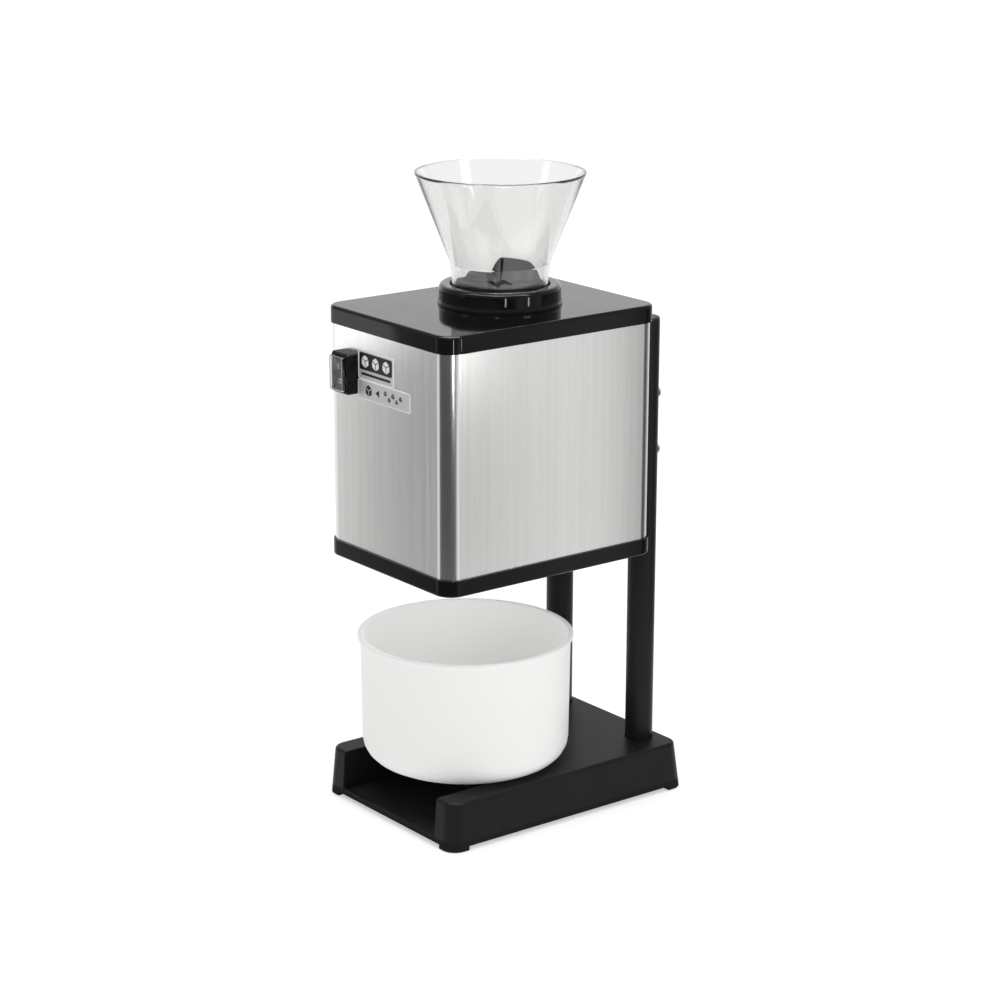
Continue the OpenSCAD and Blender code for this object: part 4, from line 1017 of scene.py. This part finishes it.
def ice_cube(centre, radius, ground, ink):
    """A six-sided tile whose face is split in three raised lozenges, like a cube's sides."""
    bpy.ops.object.select_all(action="DESELECT")
    bpy.ops.mesh.primitive_cylinder_add(
        vertices=6, radius=radius, depth=tile, location=centre, rotation=(math.pi / 2, 0, 0))
    piece = settle("ice_cube")
    piece.data.materials.append(ground)
    piece.data.materials.append(ink)
    pick(piece, "FACE", facing_front)
    bpy.ops.mesh.poke()
    leave()
    pick(piece, "EDGE", lambda e: any((v.co - Vector(centre)).xz.length < 1e-5 for v in e.verts)
         and any(round(math.degrees(math.atan2(v.co.x - centre[0], v.co.z - centre[2]))) % 120 == 0
                 for v in e.verts if (v.co - Vector(centre)).xz.length > 1e-5))
    bpy.ops.mesh.dissolve_edges(use_verts=False)
    leave()
    pick(piece, "FACE", facing_front)
    bpy.ops.mesh.inset(thickness=radius * 0.07, use_individual=True)
    bpy.ops.mesh.extrude_region_move(TRANSFORM_OT_translate={"value": (0, -tile / 2, 0)})
    leave()
    for face in piece.data.polygons:
        face.material_index = int(face.normal.y < -0.99 and face.center.y < centre[1] - 0.1 * mm)
    return piece


badge_print = Finish("badge_print")
badge_dark = badge_print.plastic(
    badge_print.mix(badge_print.noise(400), grey(0.006), grey(0.012)), 0.32, Specular_IOR_Level=0.3)
badge_border = Finish("badge_border")
border_grain = badge_border.noise(1, (2600, 2600, 9))
badge_bright = badge_border.plastic(
    badge_border.mix(border_grain, grey(0.70), grey(0.80)), 0.34 + 0.1 * border_grain,
    Specular_IOR_Level=0.4)
film = Finish("silver_film")
film_grain = film.noise(1, (2000, 2000, 12))
silver_film = film.plastic(
    film.mix(film_grain, grey(0.50), grey(0.58)), 0.34 + 0.1 * film_grain, Metallic=0.4)
low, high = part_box("badge_plate")
centre = (low + high) / 2
face_y = low.y + set_back
badge = [tablet("badge", low, high, 2.5 * mm, 0.8 * mm)]
field = block("field", (low.x + 1.8 * mm, face_y - 0.08 * mm, centre.z - 3.4 * mm),
              (high.x - 1.8 * mm, face_y + mark_root, high.z - 1.8 * mm))
round_edges(field, along_y, 1.6 * mm, 5)
field.data.materials.append(badge_dark)
badge.append(field)
for step in (-1, 0, 1):
    place_on = (centre.x + step * 12.5 * mm, face_y - 0.06 * mm, centre.z + 2.7 * mm)
    badge.append(ice_cube(place_on, 5 * mm, badge_dark, white_print))
rule = block("rule", (low.x + 4 * mm, face_y - 0.06 * mm, low.z + 3.4 * mm),
             (high.x - 4 * mm, face_y + mark_root, low.z + 5.2 * mm))
rule.data.materials.append(badge_dark)
badge.append(rule)
place(gather("badge_printed", badge), "machine", "badge_dark", None, "badge_plate")


# ---------- label strip ----------
# A strip of silver film with a bright edge, stuck on under the badge. A cube, an arrow
# and a few smaller pieces show what the machine does.
low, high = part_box("label_strip")
centre = (low + high) / 2
face_y = low.y + set_back
strip = [tablet("strip", low, high, 1.2 * mm, 0.5 * mm)]
strip.append(ice_cube((low.x + 13 * mm, face_y - 0.02 * mm, centre.z), 4.6 * mm,
                      silver_film, badge_dark))
bpy.ops.object.select_all(action="DESELECT")
bpy.ops.mesh.primitive_cylinder_add(
    vertices=3, radius=3 * mm, depth=tile, location=(low.x + 24 * mm, face_y, centre.z),
    rotation=(math.pi / 2, math.radians(-90), 0))
arrow = settle("arrow")
arrow.data.materials.append(badge_dark)
strip.append(smooth(arrow, 0.04 * mm, 1))
for x, z, size in ((33, 1.8, 2.2), (37.5, -1.9, 2.0), (42, 1.5, 2.3), (46.5, -1.7, 1.9),
                   (51, 1.2, 2.1)):
    strip.append(ice_cube((low.x + x * mm, face_y - 0.02 * mm, centre.z + z * mm), size * mm,
                          silver_film, badge_dark))
place(gather("label_strip_film", strip), "machine", "label_silver", None, "label_strip")


# ---------- rating plate ----------
# A small silver film plate on the back, over the grommet, ruled in blank rows.
low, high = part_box("rating_plate")
centre = (low + high) / 2
plate = block("rating_plate_film", low, high)
round_edges(plate, along_y, 2 * mm, 5)
plate.data.materials.append(silver_film)
rows = [smooth(plate, 0.08 * mm, 1)]
for z in (-8, -3, 2, 7):
    row = block("row", (low.x + 3 * mm, high.y - 0.1 * mm, centre.z + z * mm),
                (high.x - 3 * mm, high.y + 0.04 * mm, centre.z + (z + 0.35) * mm))
    row.data.materials.append(badge_dark)
    rows.append(row)
place(gather("rating_plate_film", rows), "machine", "label_silver", None, "rating_plate")


# ---------- inner metal and plastic ----------
# Crushing drum, comb, blades, gears, motor and wiring keep their exact solids. Each gets
# the finish of its own material: cast, ground, drawn, sintered or moulded.
cast_alloy = Finish("cast_alloy")
sand = cast_alloy.noise(650, detail=4)
dress(cast_alloy.plastic(
    cast_alloy.mix(sand, (0.40, 0.40, 0.41, 1), (0.56, 0.56, 0.57, 1)),
    0.42 + 0.2 * sand, sand, 0.0001, Metallic=1.0),
    "crusher_drum", "gear_plate", "motor_front_cap", "motor_rear_cap")

ground = Finish("ground_steel")
scratch = ground.noise(1, (9, 2200, 2200), 4)
dress(ground.plastic(
    ground.mix(scratch, (0.55, 0.55, 0.56, 1), (0.74, 0.74, 0.74, 1)),
    0.2 + 0.16 * scratch, scratch, 0.00001, Metallic=1.0),
    "breaker_comb", "blade_shaft", "crusher_blades", "blade_spacers")

dress(zinc_finish, "column_inserts", "column_bars", "comb_screws", "idler_shaft",
      "gear_cover_screws", "motor_bearings", "motor_stand")

dark_steel = Finish("hardened_steel")
heat = dark_steel.noise(120)
dress(dark_steel.plastic(
    dark_steel.mix(heat, (0.22, 0.20, 0.17, 1), (0.36, 0.34, 0.31, 1)),
    0.28 + 0.14 * heat, dark_steel.noise(1500), 0.00001, Metallic=1.0),
    "shaft_circlips", "motor_pinion")

sintered = Finish("sintered_bronze")
grain = sintered.noise(2600, detail=2)
dress(sintered.plastic(
    sintered.mix(grain, (0.38, 0.23, 0.10, 1), (0.62, 0.42, 0.20, 1)),
    0.36 + 0.2 * grain, grain, 0.00003, Metallic=1.0), "shaft_bushes")

nylon = Finish("natural_nylon")
cloudy = nylon.noise(80)
dress(nylon.plastic(
    nylon.mix(cloudy, (0.70, 0.65, 0.52, 1), (0.79, 0.75, 0.64, 1)),
    0.36 + 0.12 * cloudy, nylon.noise(900), 0.00002), "drive_gear", "idler_gear")

filled = Finish("filled_nylon")
fibre = filled.noise(1, (500, 1400, 1400), 3)
dress(filled.plastic(
    filled.mix(fibre, grey(0.018), grey(0.035)), 0.42 + 0.16 * fibre, fibre, 0.00004),
    "gear_cover", "outlet_chute", "motor_fan")

stack = Finish("steel_laminations")
leaves = stack.noise(1, (4000, 3, 3), 1)
dress(stack.plastic(
    stack.mix(leaves > 0.5, (0.16, 0.16, 0.17, 1), (0.34, 0.34, 0.35, 1)),
    0.34 + 0.2 * leaves, leaves, 0.0001, Metallic=1.0), "motor_stator", "motor_rotor")

wire = Finish("enamelled_copper")
turns = wire.noise(1, (900, 2600, 2600), 2)
dress(wire.plastic(
    wire.mix(turns, (0.30, 0.09, 0.03, 1), (0.66, 0.26, 0.10, 1)),
    0.22 + 0.12 * turns, turns, 0.0002, Metallic=0.9, Coat_Weight=0.5), "motor_windings")

dress(switch_finish, "interlock_switch")

red = Finish("red_moulding")
red_grain = red.noise(900)
dress(red.plastic(
    red.mix(red_grain, (0.36, 0.03, 0.02, 1), (0.46, 0.05, 0.03, 1)), 0.38 + 0.1 * red_grain,
    red_grain, 0.00001), "interlock_plunger")

cream = Finish("cream_nylon")
cream_grain = cream.noise(300)
dress(cream.plastic(
    cream.mix(cream_grain, (0.68, 0.65, 0.54, 1), (0.76, 0.73, 0.63, 1)),
    0.4 + 0.1 * cream_grain, cream_grain, 0.00002), "terminal_block")

drawn = Finish("drawn_can")
draw_lines = drawn.noise(1, (2400, 2400, 14), 3)
dress(drawn.plastic(
    drawn.mix(draw_lines, (0.62, 0.62, 0.63, 1), (0.78, 0.78, 0.78, 1)),
    0.26 + 0.14 * draw_lines, draw_lines, 0.00001, Metallic=1.0), "run_capacitor")
